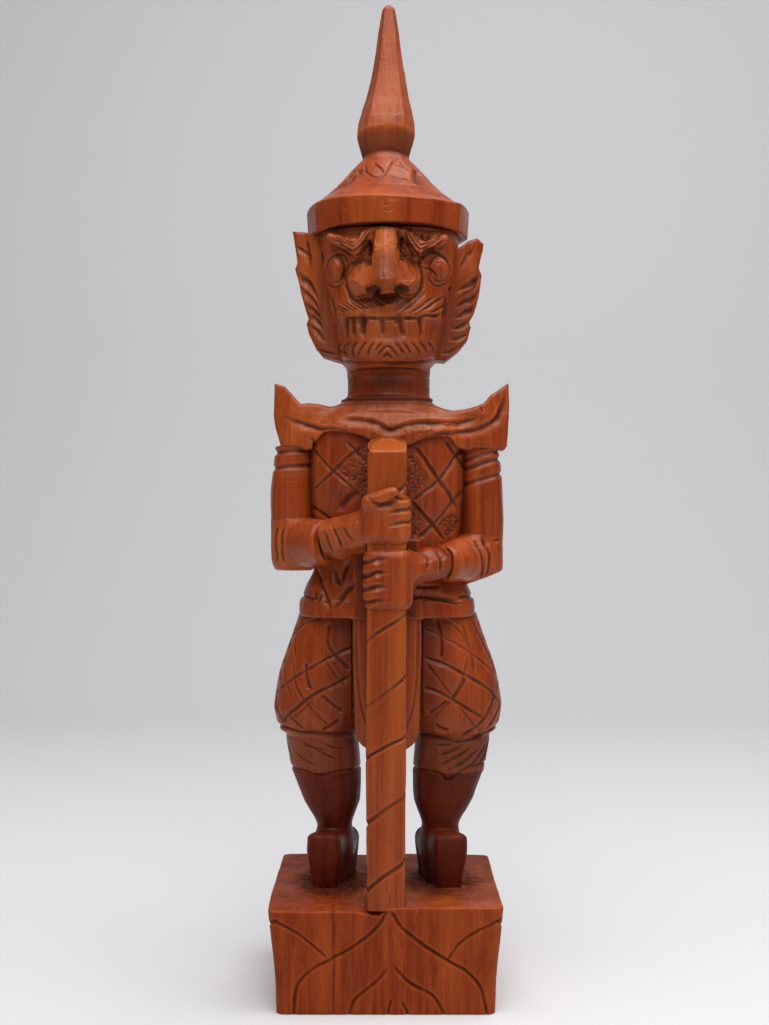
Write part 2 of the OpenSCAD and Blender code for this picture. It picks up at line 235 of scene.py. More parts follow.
def surface_net(field, low, high, step):
    """Points and four-sided faces of the surface on which the field is zero."""
    low, high = np.asarray(low, float) - 2 * step, np.asarray(high, float) + 2 * step
    axes = [np.arange(low[a], high[a] + step, step) for a in range(3)]
    values = sampled(field, axes, step)
    inside = values < 0
    n = np.array(values.shape) - 1
    corners = [inside[c[0]:n[0] + c[0], c[1]:n[1] + c[1], c[2]:n[2] + c[2]] for c in CORNERS]
    count = sum(c.astype(np.int8) for c in corners)
    cells = np.argwhere((count > 0) & (count < 8))
    index = np.full(n, -1)
    index[tuple(cells.T)] = np.arange(len(cells))
    at = cells[:, None, :] + CORNERS
    f = values[at[..., 0], at[..., 1], at[..., 2]]
    total, hits = np.zeros((len(cells), 3)), np.zeros(len(cells))
    for a, b in EDGES:
        crosses = (f[:, a] < 0) != (f[:, b] < 0)
        t = np.where(crosses, f[:, a] / np.where(crosses, f[:, a] - f[:, b], 1), 0)
        total += crosses[:, None] * (CORNERS[a] + t[:, None] * (CORNERS[b] - CORNERS[a]))
        hits += crosses
    points = low + step * (cells + total / hits[:, None])
    faces = []
    for axis in range(3):
        u, v = (axis + 1) % 3, (axis + 2) % 3
        first = np.take(inside, range(n[axis]), axis)
        second = np.take(inside, range(1, n[axis] + 1), axis)
        e = np.argwhere(first != second)
        e = e[(e[:, u] > 0) & (e[:, v] > 0) & (e[:, u] < n[u]) & (e[:, v] < n[v])]
        quad = []
        for du, dv in ((-1, -1), (0, -1), (0, 0), (-1, 0)):
            c = e.copy()
            c[:, u] += du
            c[:, v] += dv
            quad.append(index[tuple(c.T)])
        quad = np.stack(quad, -1)
        out = first[tuple(e.T)]
        faces.append(np.where(out[:, None], quad, quad[:, ::-1]))
    return points, np.concatenate(faces)


def gradient(field, p, h=0.08):
    """The field's slope at each point, from samples h to either side."""
    g = np.empty_like(p)
    for a in range(3):
        d = np.zeros(3)
        d[a] = h
        g[:, a] = (field(p + d) - field(p - d)) / (2 * h)
    return g


def settled(field, p, reach):
    """The points moved onto the surface, and the surface's direction at each."""
    for _ in range(2):
        g = gradient(field, p)
        move = -field(p)[:, None] * g / np.maximum((g * g).sum(1), 0.05)[:, None]
        size = np.linalg.norm(move, axis=1, keepdims=True)
        p = p + move * np.minimum(1, reach / np.maximum(size, 1e-9))
    g = gradient(field, p, 0.25)
    return p, g / np.maximum(np.linalg.norm(g, axis=1, keepdims=True), 1e-6)


# ---------------------------------------------------------------- chisel work on a meshed surface

class Carving:
    """The points of one piece, what is cut from each along the surface's direction, and how dark it is."""

    def __init__(self, p, n):
        self.p, self.n = p, n
        self.depth = np.zeros(len(p))
        self.cut_lacquer_and_shade = np.zeros(len(p))
        self.edge = np.zeros(len(p))
        self.stain_and_shade = np.zeros(len(p))

    def flip(self):
        """Swaps the figure's right and left."""
        self.p[:, 0] *= -1
        self.n[:, 0] *= -1

    def plane(self, side):
        """Across and up coordinates as seen from one side, and how much each point faces that side."""
        x, y, z = self.p.T
        nx, ny = self.n.T[:2]
        return {"front": (x, z, -ny), "back": (x, z, ny), "right": (y, z, -nx), "left": (y, z, nx)}[side]

    def stroke(self, points, width=1.0, depth=0.7, side="front", taper=0.25, lean=0.0, facing=0.15,
               where=None, uv=None, dark=1.0, ends=(True, True)):
        """A V cut along a smooth line. Lean widens the cut's slope on the line's left (-1) or right (1),
        taper is the share of the line over which an end fades out, and ends says which ends do."""
        u, v, toward = self.plane(side) if uv is None else (*uv, np.ones(len(self.p)))
        line = spline(points)
        spread = 1 + abs(lean) * 2.5
        wide = width * spread
        near = (toward > facing) & (u > line[:, 0].min() - wide) & (u < line[:, 0].max() + wide) \
            & (v > line[:, 1].min() - wide) & (v < line[:, 1].max() + wide)
        if where is not None:
            near &= where
        at = np.nonzero(near)[0]
        if not len(at):
            return
        q = self.p[at]
        pu = u[at] + 0.18 * noise(q, 3.4, 1)
        pv = v[at] + 0.18 * noise(q, 3.4, 2)
        best, share, hand = np.full(len(at), 1e9), np.zeros(len(at)), np.zeros(len(at))
        step = np.diff(line, axis=0)
        run = np.concatenate([[0], np.cumsum(np.hypot(*step.T))])
        for k, (ex, ey) in enumerate(step):
            wx, wy = pu - line[k, 0], pv - line[k, 1]
            size = ex * ex + ey * ey
            t = np.clip((wx * ex + wy * ey) / size, 0, 1)
            d = np.hypot(wx - ex * t, wy - ey * t)
            closer = d < best
            best = np.where(closer, d, best)
            share = np.where(closer, (run[k] + t * (run[k + 1] - run[k])) / run[-1], share)
            hand = np.where(closer, np.sign(wx * ey - wy * ex), hand)
        fade = np.ones(len(at))
        if ends[0]:
            fade *= np.clip(0.15 + share / taper, 0, 1)
        if ends[1]:
            fade *= np.clip(0.15 + (1 - share) / taper, 0, 1)
        fade *= 0.86 + 0.22 * noise(q, 2.6, 3)
        half = width * (0.35 + 0.65 * np.clip(fade, 0, 1))
        slope = np.where(hand * lean > 0, half * spread, half)
        cut = depth * fade * np.clip(1 - best / slope, 0, 1) ** (1.0 if lean == 0 else 1.2)
        self.depth[at] = np.maximum(self.depth[at], cut)
        # The cut's dark core (lacquer and painted shade) and a pale rim beside it (worn edge and painted
        # highlight).
        core = np.clip(1.25 - best / (0.62 * half), 0, 1)
        self.cut_lacquer_and_shade[at] = np.maximum(self.cut_lacquer_and_shade[at], dark * np.clip(fade, 0, 1) * core)
        rim = fade * np.clip(1 - np.abs(best - 1.15 * half) / (0.35 * half + 0.15), 0, 1)
        self.edge[at] = np.maximum(self.edge[at], 0.8 * rim)

    def strokes(self, lines, width, depth, **settings):
        for line in lines:
            self.stroke(line, width, depth, **settings)

    def lower(self, amount):
        """Takes an amount off at each point, on top of what strokes take."""
        self.depth += amount

    def roughen(self, depth, size, seed):
        """Scattered shallow dips, each about one size across."""
        self.lower(depth * np.maximum(noise(self.p, size, seed), 0))

    def fill(self, amount):
        """Darkens a cut, at least this much at each point: dark lacquer in it and painted shade."""
        self.cut_lacquer_and_shade = np.maximum(self.cut_lacquer_and_shade, amount)

    def wear_and_highlight(self, amount):
        """Lightens rubbed edges, and paints highlights on rims and on faces turned to the light."""
        self.edge = np.maximum(self.edge, amount)

    def darken(self, amount):
        """Darkens the colour: painted shade in hollows, under overhangs and between parts, and stain on parts
        that are dark as a whole.
        """
        self.stain_and_shade = np.maximum(self.stain_and_shade, amount)

    def facets(self, spacing, cut, seed, where=None):
        """Flat knife marks: planes that slice a little off round scattered points."""
        draw = np.random.default_rng(seed)
        count = max(4, int(len(self.p) * 0.12 / spacing ** 2))
        picks = draw.choice(len(self.p), min(count, len(self.p)), replace=False)
        if where is not None:
            picks = picks[where[picks]]
        taken = np.zeros(len(self.p))
        near = spacing * 1.6
        for k in picks:
            q = self.p - self.p[k]
            at = np.nonzero((np.abs(q) < near).all(axis=1))[0]
            over = q[at] @ self.n[k] + cut
            over = np.where(self.n[at] @ self.n[k] > 0.6, over, 0)
            taken[at] = np.maximum(taken[at], np.clip(over, 0, cut * 1.3))
        self.lower(taken)

    def scribble(self, corners, count, seed, where):
        """Short curved scratches that fill one cell of the front's pattern, which is also cut deeper."""
        draw = np.random.default_rng(seed)
        corners = np.asarray(corners, float)
        low, high = corners.min(axis=0), corners.max(axis=0)
        spots = low + draw.random((count * 4, 2)) * (high - low)
        spots = spots[outline(*spots.T, corners) < -0.6][:count]
        for spot in spots:
            way = draw.uniform(0, math.pi)
            length = draw.uniform(0.6, 1.25)
            step = length * np.array([math.cos(way), math.sin(way)])
            bend = 0.5 * np.array([-step[1], step[0]])
            self.stroke([spot - step, spot + bend, spot + step], 0.5, 0.45, where=where, dark=0.85)
        u, v, toward = self.plane("front")
        inside = ramp(-outline(u, v, corners), 0.0, 0.7) * (toward > 0.15) * where
        self.lower(0.25 * inside)
        self.darken(0.3 * inside)

    def hollow_shade_and_lacquer(self, field):
        """Darkens what lies in the shape's own hollows: painted shade, reckoned as the shape's own ambient
        occlusion, and dark lacquer and dirt that gather there.
        """
        shut = np.zeros(len(self.p))
        scale = np.maximum(np.linalg.norm(gradient(field, self.p, 0.25), axis=1), 0.3)
        for reach in (1.2, 2.6, 5.0):
            shut += np.clip(1 - field(self.p + reach * self.n) / (reach * scale), 0, 1) / 3
        self.darken(0.75 * ramp(shut, 0.12, 0.75))


MIRROR = np.array([-1.0, 1.0, 1.0])


def carved(name, field, low, high, step, replaces, material, work,
           lower=None, left=False):
    """One finished piece: meshes the field, lets work(carving) cut it, and puts it on the frame.
    Lower is another material and the height up to which it takes over. A left piece's field and work
    are written for the right side and seen in a mirror."""
    if left:
        right_field, right_work = field, work

        def field(p):
            return right_field(p * MIRROR)

        def work(c):
            c.flip()
            right_work(c)
            c.flip()

    p, faces = surface_net(field, low, high, step)
    p, n = settled(field, p, step)
    carving = Carving(p, n)
    work(carving)
    carving.hollow_shade_and_lacquer(field)
    p = p - n * carving.depth[:, None]
    mesh = bpy.data.meshes.new(name)
    mesh.vertices.add(len(p))
    mesh.vertices.foreach_set("co", (p * MM).astype(np.float32).ravel())
    mesh.loops.add(faces.size)
    mesh.loops.foreach_set("vertex_index", faces.astype(np.int32).ravel())
    mesh.polygons.add(len(faces))
    mesh.polygons.foreach_set("loop_start", np.arange(0, faces.size, 4, dtype=np.int32))
    mesh.polygons.foreach_set("use_smooth", np.ones(len(faces), bool))
    mesh.update(calc_edges=True)
    mesh.validate()
    for key in ("cut_lacquer_and_shade", "edge", "stain_and_shade"):
        layer = mesh.attributes.new(key, "FLOAT", "POINT")
        layer.data.foreach_set("value", np.clip(getattr(carving, key), 0, 1).astype(np.float32))
    mesh.materials.append(material)
    if lower:
        mesh.materials.append(lower[0])
        below = p[faces][:, :, 2].mean(axis=1) < lower[1]
        mesh.polygons.foreach_set("material_index", below.astype(np.int32))
    piece = bpy.data.objects.new(name, mesh)
    bpy.context.scene.collection.objects.link(piece)
    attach(piece, "root")
    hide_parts(*replaces)
    return piece


# ---------------------------------------------------------------- materials

class Nodes:
    """Short calls for building one material's node tree."""

    def __init__(self, name):
        self.material = bpy.data.materials.new(name)
        self.material.use_nodes = True
        self.tree = self.material.node_tree
        self.shader = self.tree.nodes["Principled BSDF"]
        self.place = self.add("ShaderNodeTexCoord").outputs["Object"]

    def add(self, kind, **settings):
        node = self.tree.nodes.new(kind)
        for key, value in settings.items():
            setattr(node, key, value)
        return node

    def put(self, node, items):
        """Gives each named or numbered socket of a node its number, colour or incoming link."""
        for key, item in items.items():
            socket = node.inputs[key]
            if isinstance(item, bpy.types.NodeSocket):
                self.tree.links.new(item, socket)
            else:
                socket.default_value = (*item, 1) if socket.type == "RGBA" else item
        return node

    def value(self, operation, a, b, clamp=False):
        node = self.add("ShaderNodeMath", operation=operation, use_clamp=clamp)
        return self.put(node, {0: a, 1: b}).outputs[0]

    def mix(self, share, a, b):
        node = self.add("ShaderNodeMix", data_type="RGBA")
        return self.put(node, {"Factor": share, 6: a, 7: b}).outputs[2]

    def noise(self, scale, detail, stretch=None, roughness=0.55, distortion=0.0):
        """Noise over the object, whose bumps are drawn out where stretch is less than 1."""
        place = self.place
        if stretch:
            place = self.put(self.add("ShaderNodeMapping"), {"Scale": stretch, "Vector": place}).outputs[0]
        node = self.add("ShaderNodeTexNoise")
        return self.put(node, {"Scale": scale, "Detail": detail, "Roughness": roughness,
                               "Distortion": distortion, "Vector": place}).outputs["Fac"]

    def span(self, value, start, end, low=0.0, high=1.0):
        node = self.add("ShaderNodeMapRange", interpolation_type="SMOOTHSTEP")
        return self.put(node, {"From Min": start, "From Max": end, "To Min": low, "To Max": high,
                               "Value": value}).outputs[0]

    def attribute(self, name):
        return self.add("ShaderNodeAttribute", attribute_name=name).outputs["Fac"]


def linear(r, g, b):
    """A colour given as screen values from 0 to 255, as the shader's linear light."""
    return tuple(((c / 255 + 0.055) / 1.055) ** 2.4 if c > 10 else c / 255 / 12.92 for c in (r, g, b))


RECESS = linear(44, 14, 6)


def teak(name, mid, dark, light, gloss=0.36, sheen=0.26):
    """Lacquered hardwood: upright fibres, broad bands, pores, dark lacquer and painted shade in the cuts and
    hollows, and worn edges with painted highlights.
    """
    mid, dark, light = (linear(*tone) for tone in (mid, dark, light))
    m = Nodes(name)
    fibres = m.noise(1500, 3, (1, 1, 0.018))
    streaks = m.noise(420, 4, (1, 1, 0.03), 0.6, 0.3)
    bands = m.noise(70, 3, (1, 0.6, 0.10), 0.5, 0.6)
    clouds = m.noise(45, 3, (1, 1, 0.5))
    pores = m.span(m.noise(1900, 2, (1, 1, 0.05)), 0.60, 0.72)
    colour = m.mix(m.span(streaks, 0.34, 0.66), dark, mid)
    # From the mesh: pale rims (worn edges and painted highlights), darkened cuts (lacquer and painted shade)
    # and darkened hollows and undersides (stain and painted shade).
    layers = [(m.span(bands, 0.42, 0.72), 0.55, light), (m.span(fibres, 0.5, 0.75), 0.32, light),
              (m.span(clouds, 0.48, 0.70), 0.35, dark), (pores, 0.40, RECESS),
              (m.attribute("edge"), 0.6, light), (m.attribute("cut_lacquer_and_shade"), 0.88, RECESS),
              (m.attribute("stain_and_shade"), 0.85, RECESS)]
    for share, most, tone in layers:
        colour = m.mix(m.value("MULTIPLY", share, most), colour, tone)
    rough = m.span(m.noise(160, 3), 0.35, 0.7, gloss - 0.07, gloss + 0.11)
    rough = m.value("ADD", rough, m.value("MULTIPLY", m.attribute("cut_lacquer_and_shade"), 0.25))
    rough = m.value("ADD", rough, m.value("MULTIPLY", m.attribute("stain_and_shade"), 0.3), clamp=True)
    height = m.value("ADD", m.value("MULTIPLY", streaks, 0.6), m.value("MULTIPLY", fibres, 0.35))
    height = m.value("SUBTRACT", height, m.value("MULTIPLY", pores, 0.25))
    height = m.value("ADD", height, m.value("MULTIPLY", m.noise(330, 2), 0.35))
    bump = m.put(m.add("ShaderNodeBump"), {"Strength": 0.35, "Distance": 0.0004, "Height": height})
    m.put(m.shader, {"Base Color": colour, "Roughness": rough, "Normal": bump.outputs["Normal"]})
    m.shader.inputs["Specular IOR Level"].default_value = sheen
    m.shader.inputs["Specular Tint"].default_value = (1.0, 0.84, 0.70, 1)
    m.shader.inputs["Coat Weight"].default_value = 0.5 * sheen
    m.shader.inputs["Coat Roughness"].default_value = 0.2
    return m.material


def beech():
    """Pale turned dowel."""
    m = Nodes("beech_dowel")
    flecks = m.span(m.noise(1100, 3, (1, 1, 0.05)), 0.4, 0.65)
    m.put(m.shader, {"Base Color": m.mix(flecks, linear(206, 168, 122), linear(170, 128, 84))})
    m.shader.inputs["Roughness"].default_value = 0.6
    return m.material


def backdrop_paper():
    """Plain pale paper, painted darker a good way in front of the figure: painted shade, so the figure's
    front reflects a darker room.
    """
    m = Nodes("backdrop_paper")
    ahead = m.put(m.add("ShaderNodeSeparateXYZ"), {0: m.place}).outputs["Y"]
    paper = m.mix(m.span(ahead, -1.5, -0.5), linear(128, 128, 130), linear(222, 221, 223))
    m.put(m.shader, {"Base Color": paper})
    m.shader.inputs["Roughness"].default_value = 0.9
    m.shader.inputs["Specular IOR Level"].default_value = 0.2
    return m.material


BODY_TEAK = teak("teak_body", (150, 60, 20), (122, 42, 14), (174, 82, 32))
# A lighter copy of the body teak: painted light on the apron, which stands back in shade behind the staff.
LIT_APRON_TEAK = teak("teak_apron_lit", (168, 70, 30), (134, 50, 20), (186, 92, 42))
STAFF_TEAK = teak("teak_staff", (150, 64, 21), (126, 48, 15), (176, 88, 34), sheen=0.2)
BASE_TEAK = teak("teak_base", (150, 62, 22), (120, 42, 14), (172, 82, 32), gloss=0.5, sheen=0.10)
# A darker copy for the shins and boots: painted shade under the thighs, over the darker lacquer low on the
# legs.
DARK_SHADED_BOOT_TEAK = teak("teak_boots_dark_shaded", (120, 40, 16), (88, 26, 11), (142, 54, 24), gloss=0.34, sheen=0.12)
# A lighter copy for the face, ears, collar, sleeves, right fist and finial: the wood's paler tone there and
# painted light where these parts stand lit.
PALE_LIT_TEAK = teak("teak_pale_lit", (161, 70, 27), (133, 50, 17), (190, 98, 44), gloss=0.38, sheen=0.25)
DOWEL = beech()


# ---------------------------------------------------------------- camera, light and floor

EYE = (-0.92, -518.0, 171.6)
LONG_SIDE_PIXELS = 1025
FOCAL_PIXELS = 1413


def area_light(name, place, aim, width, height, watts):
    data = bpy.data.lights.new(name, "AREA")
    data.shape = "RECTANGLE"
    data.size, data.size_y, data.energy = width, height, watts
    lamp = bpy.data.objects.new(name, data)
    bpy.context.scene.collection.objects.link(lamp)
    lamp.location = place
    way = Vector(aim) - Vector(place)
    lamp.rotation_euler = way.to_track_quat("-Z", "Y").to_euler()


def stage_setting():
    data = bpy.data.cameras.new("view")
    data.sensor_width = 36.0
    data.lens = FOCAL_PIXELS / LONG_SIDE_PIXELS * data.sensor_width
    data.clip_start, data.clip_end = 0.02, 20
    camera = bpy.data.objects.new("view", data)
    bpy.context.scene.collection.objects.link(camera)
    camera.location = tuple(c * MM for c in EYE)
    camera.rotation_euler = (math.pi / 2, 0, 0)
    bpy.context.scene.camera = camera

    world = bpy.data.worlds.new("soft_room")
    world.use_nodes = True
    world.node_tree.nodes["Background"].inputs["Color"].default_value = (0.95, 0.97, 1.0, 1)
    world.node_tree.nodes["Background"].inputs["Strength"].default_value = 0.10
    bpy.context.scene.world = world

    area_light("over", (0.12, -0.25, 1.10), (0, 0, 0.15), 1.3, 0.9, 16.5)
    area_light("front", (0.10, -1.0, 0.95), (0, 0, 0.20), 0.7, 0.4, 3.6)

    half_w, front, back, bend, top, turns = 2.2, -1.6, 1.0, 0.35, 2.4, 12
    profile = [(front, 0.0)]
    for k in range(turns + 1):
        a = math.pi / 2 * k / turns
        profile.append((back - bend + bend * math.sin(a), bend * (1 - math.cos(a))))
    profile.append((back, top))
    mesh = bpy.data.meshes.new("backdrop")
    points = [(x, y, z) for y, z in profile for x in (-half_w, half_w)]
    faces = [(2 * k, 2 * k + 1, 2 * k + 3, 2 * k + 2) for k in range(len(profile) - 1)]
    mesh.from_pydata(points, [], faces)
    mesh.polygons.foreach_set("use_smooth", [True] * len(faces))
    mesh.materials.append(backdrop_paper())
    sheet = bpy.data.objects.new("backdrop", mesh)
    bpy.context.scene.collection.objects.link(sheet)
    bpy.context.scene.view_settings.view_transform = "Standard"


stage_setting()


# ---------------------------------------------------------------- base and staff

def base_field(p):
    """A square block, drawn in towards its foot, with an uneven top and soft corners."""
    draw = 3.0 * (1 - np.clip(p[:, 2] / BASE_Z, 0, 1)) ** 0.8 + 0.3 * noise(p, (30, 30, 14), 12)
    corner = 3.2
    across = np.abs(p[:, 0] + 0.6) - BASE_W / 2 - 0.5 + draw
    deep = np.abs(p[:, 1]) - BASE_D / 2 + draw
    q = np.stack([across, deep], -1) + corner
    side = np.hypot(*np.maximum(q, 0).T) + np.minimum(q.max(axis=1), 0) - corner
    left = ramp(-p[:, 0], 0, 3)
    edge = ramp(-p[:, 1], BASE_D / 2 - 15, BASE_D / 2) ** 2
    dip = edge * left * (1.3 + 1.4 * ramp(p[:, 0], -14, -3)) + 0.3 * ramp(noise(p, (9, 9, 60), 3), -0.2, 0.6)
    notch = ball(p, (-3.8, -BASE_D / 2 - 0.6, BASE_Z - 0.6), (3.4, 5.0, 2.6))
    field = smooth_max(side, p[:, 2] - BASE_Z + dip, 1.2)
    field = smooth_max(field, -notch, 0.5)
    return smooth_max(field, -p[:, 2], 0.5)


# The pointed arches on each side of the base: a line, its width, depth and taper.
PETALS = [
    ([(0.3, 36.6), (-3.4, 30.6), (-11.5, 23.8), (-19, 19.4), (-26.2, 15.3), (-30.9, 9.6),
      (-31.9, 0.5)], 1, 0.95, 0.03),
    ([(1.4, 36.2), (4.8, 30.6), (10.9, 25.5), (19.7, 19.4), (27.2, 15), (31.9, 9.2),
      (34, 0.5)], 1, 0.95, 0.03),
    ([(0.3, 16.7), (-3.4, 11.9), (-9.2, 7.2), (-11.9, 3.8), (-12.9, 0.2)], 1, 0.9, 0.1),
    ([(2, 17.4), (7.8, 11.3), (14.9, 7.2), (17.7, 3.8), (19.4, 0.2)], 1, 0.9, 0.1),
    ([(1.7, 5.6), (0.9, 3), (0.3, 0)], 0.8, 0.8, 0.25), ([(4.8, 5), (6, 2.5), (7.4, 0)], 0.8, 0.7, 0.25),
]


def petal_cuts(c, side):
    """The arches cut into one face of the base, and a shorter cut towards each upper corner."""
    for line, width, depth, taper in PETALS:
        c.stroke(line, width, depth, side, taper=taper, ends=(True, False))
    c.stroke([(-39.5, 33.6), (-36, 31.6), (-28.9, 27.2), (-20.4, 19.8)], 0.9, 0.75, side, taper=0.06)
    c.stroke([(39.5, 33.6), (36, 32), (28.9, 28.2), (24.1, 24.2), (20.6, 18.8)], 0.85, 0.7, side, taper=0.06)


def base_work(c):
    c.facets(9.0, 0.10, 11)
    for side in ("front", "right", "left", "back"):
        petal_cuts(c, side)
    c.roughen(0.10, (7, 7, 12), 5)
    x, y, z = c.p.T
    on_top = c.n[:, 2] > 0.6
    feet = np.hypot(np.abs(x) - LEG_X - 1, (y + 4) * 0.7)
    near_feet = on_top * ramp(-feet, -17, -9)
    pits = np.maximum(noise(c.p, 1.5, 8), 0) + 0.6 * np.maximum(noise(c.p, 0.9, 9), 0)
    c.lower(0.65 * pits * near_feet + 0.10 * pits * on_top)
    c.fill(0.75 * near_feet * np.clip(pits * 1.6, 0, 1))
    # Painted shade on the top round the feet and towards the back, under the figure.
    far = 0.7 * ramp(y, -36, -24) + 0.3 * ramp(y, -24, 10)
    c.darken(0.9 * np.clip(0.5 * near_feet + 0.5 * on_top * far * (0.8 + 0.4 * noise(c.p, 9, 4)), 0, 1))
    in_front = y < -30
    crack = np.abs(x + 18.3 + 0.5 * noise(c.p, (4, 4, 9), 6))
    streak = in_front * ramp(-crack, -0.85, -0.1) * (0.6 + 0.4 * noise(c.p, (3, 3, 7), 7))
    band = in_front * ramp(-np.abs(x + 13.5 + noise(c.p, (6, 6, 14), 13)), -3.4, -1.2)
    c.lower(0.25 * streak)
    c.darken(0.8 * streak + 0.22 * band)
    rim = np.exp(-((z - BASE_Z + 0.8) / 0.9) ** 2) * (np.abs(c.n[:, 2] - 0.6) < 0.35)
    c.wear_and_highlight(1.5 * rim * np.clip(0.7 + 0.6 * noise(c.p, (5, 5, 5), 14), 0, 1))


STAFF_HALF_X = 6.9
STAFF_HALF_Y = 6.0


def staff_middle(p):
    """The staff's middle across and in depth at each point's height."""
    share = (p[:, 2] - BASE_Z) / (STAFF_TOP - BASE_Z)
    return -0.55 + 0.5 * share, -31.8 + 2.6 * share


def staff_side(p):
    """How far a point is outside the staff's four sides."""
    across, middle = staff_middle(p)
    u = np.abs(p[:, 0] - across) / STAFF_HALF_X + 1e-6
    v = np.abs(p[:, 1] - middle) / STAFF_HALF_Y + 1e-6
    return ((u ** 7 + v ** 7) ** (1 / 7) - 1) * STAFF_HALF_Y


STAFF_BEVELS = [
    ((0, -0.56, 0.83), (0, -35.6, STAFF_TOP - 5.1)),
    ((-0.50, -0.10, 0.86), (-6.6, -30, STAFF_TOP - 1.8)),
    ((0.42, 0, 0.91), (6.0, -30, STAFF_TOP - 0.8)),
]


def staff_field(p):
    field = staff_side(p) + 0.18 * noise(p, (9, 9, 22), 26)
    for way, corner in STAFF_BEVELS:
        field = smooth_max(field, (p - corner) @ np.array(way), 1.2)
    field = smooth_max(field, p[:, 2] - STAFF_TOP - 1.1, 1.2)
    return smooth_max(field, BASE_Z - 1.6 - p[:, 2], 0.3)


# The heights at which the spiral cut crosses the staff's front left edge.
STAFF_TURNS = [21.9, 43.8, 66.3, 88.3, 105.7, 128.3, 150, 172, 194]


def staff_work(c):
    x, y, z = c.p.T
    across, middle = staff_middle(c.p)
    front = -c.n[:, 1] > 0.5
    around = np.where(front, x + 6.6, 0)
    around = np.where(c.n[:, 0] > 0.5, 13.2 + (y - middle) + 6, around)
    around = np.where(c.n[:, 1] > 0.5, 25.2 + 6.6 - x, around)
    around = np.where(c.n[:, 0] < -0.5, 38.4 + 6 - (y - middle), around)
    turn = np.interp(z + 0.6 * noise(c.p, 8, 21), STAFF_TURNS, range(len(STAFF_TURNS)))
    phase = (turn - np.interp(around, [0, 13.2, 50.4], [0, 0.40, 1])) % 1
    off = 20.5 * np.minimum(phase, 1 - phase)
    power = np.clip(0.8 + 0.6 * noise(c.p, (7, 7, 9), 22), 0.3, 1)
    cut = np.clip(1 - off / (0.9 * power + 0.4), 0, 1)
    c.lower(0.75 * cut * power)
    c.fill(power * np.clip(1.2 - off / 0.8, 0, 1))
    c.wear_and_highlight(0.8 * power * np.clip(1 - np.abs(off - 1.3) / 0.5, 0, 1))
    c.facets(6.0, 0.12, 23)
    c.roughen(0.06, (2.5, 2.5, 12), 24)
    worn = (np.abs(x - across) > STAFF_HALF_X - 0.9) & (np.abs(y - middle) > STAFF_HALF_Y - 0.9)
    c.wear_and_highlight(0.8 * worn * np.clip(0.5 + noise(c.p, (3, 3, 8), 25), 0, 1))
    # Faces that look upward are lighter: painted highlight.
    c.wear_and_highlight(0.9 * (c.n[:, 2] > 0.5))


# ---------------------------------------------------------------- legs

# Height over the base, middle across, half width, half depth and squareness of the right leg.
LEG_ROWS = [
    (8, -19.2, 7, 8.6, 2.4), (17, -19.2, 6.7, 8.2, 2.4), (21, -19.4, 6.9, 8.4, 2.4),
    (29, -20.3, 10.4, 10.4, 2.5), (38.6, -21.9, 12.4, 12.4, 2.5), (40.2, -22.3, 12.8, 13, 2.5),
    (50.5, -23.6, 13.3, 14.2, 2.5), (53.6, -23.6, 13.6, 14.6, 2.5), (55.4, -23.4, 16.2, 15.9, 2.5),
    (59.5, -23, 17.8, 17, 2.5), (65, -22.5, 18.8, 17.3, 2.5), (76.5, -21, 18.3, 17.2, 2.5),
    (87.5, -19, 16.6, 16.6, 2.5), (97.5, -17, 15.1, 16, 2.5),
]


def boot_field(q):
    """A blunt boot: upright flat nose leaning over its sole, flat sides, rounded heel."""
    x, y, z = q.T
    nose = (-y - 14.6 - 0.16 * z) / 1.01
    width = 4.7 + 1.7 * ramp(z, 0, 13) + 0.9 * ramp(y, -8, 2)
    sides = np.abs(x) - width
    heel = y - 12.5 + 0.12 * z
    top = z - 19.0 + 0.10 * (y + 10)
    body = smooth_max(smooth_max(smooth_max(sides, nose, 2.0), top, 4.2), heel, 2.4)
    chamfer = np.abs(x) * 0.9 - y * 0.43 - 12.2
    return smooth_max(smooth_max(body, chamfer, 0.8), -z - HIDDEN, 0.3)


def leg_field(p, more=0.0):
    """A leg in breeches and boot, its outer side fuller by more."""
    rows = [(z, x - 0.8 * more, LEG_Y, wide + more, deep, square) for z, x, wide, deep, square in LEG_ROWS]
    leg = loft(p, rows, 0.3, BASE_Z)
    q = turned(p, (-LEG_X, LEG_Y, BASE_Z), -TOES_OUT)
    leg = smooth_min(leg, boot_field(q), 1.4)
    seat = block(p, (0, APRON_Y - 3, HEM_Z - 20), (12.6, 10.3, 28), 0.3)
    return smooth_max(leg, -seat, 0.4)


def leg_round(c):
    """Coordinates round a leg, measured from its front towards the middle of the figure, and up."""
    centre = np.interp(c.p[:, 2] - BASE_Z, [r[0] for r in LEG_ROWS], [r[1] for r in LEG_ROWS])
    angle = np.arctan2(c.p[:, 0] - centre, LEG_Y - c.p[:, 1])
    return angle * 17.0, c.p[:, 2]


def diamonds(c, uv, keep, rise, gap, start, first, last, width=0.8, depth=0.5):
    """Crossing slanted cuts from the height first up to last, where keep is 1: a regular net for the
    sides that the front's own strokes don't reach."""
    u, v = uv
    wander = 0.8 * noise(c.p, 9, 41)
    for slope in (rise, -rise * 1.3):
        phase = (v - slope * u + wander - start) % gap
        off = np.minimum(phase, gap - phase) / math.hypot(1, slope)
        inside = keep * ramp(v, first, first + 1.5) * ramp(-v, -last, -last + 1.5)
        c.lower(depth * inside * np.clip(1 - off / width, 0, 1))
        c.fill(inside * np.clip(1.1 - off / width, 0, 1))
        c.wear_and_highlight(0.6 * inside * np.clip(1 - np.abs(off - 1.2 * width) / 0.4, 0, 1))


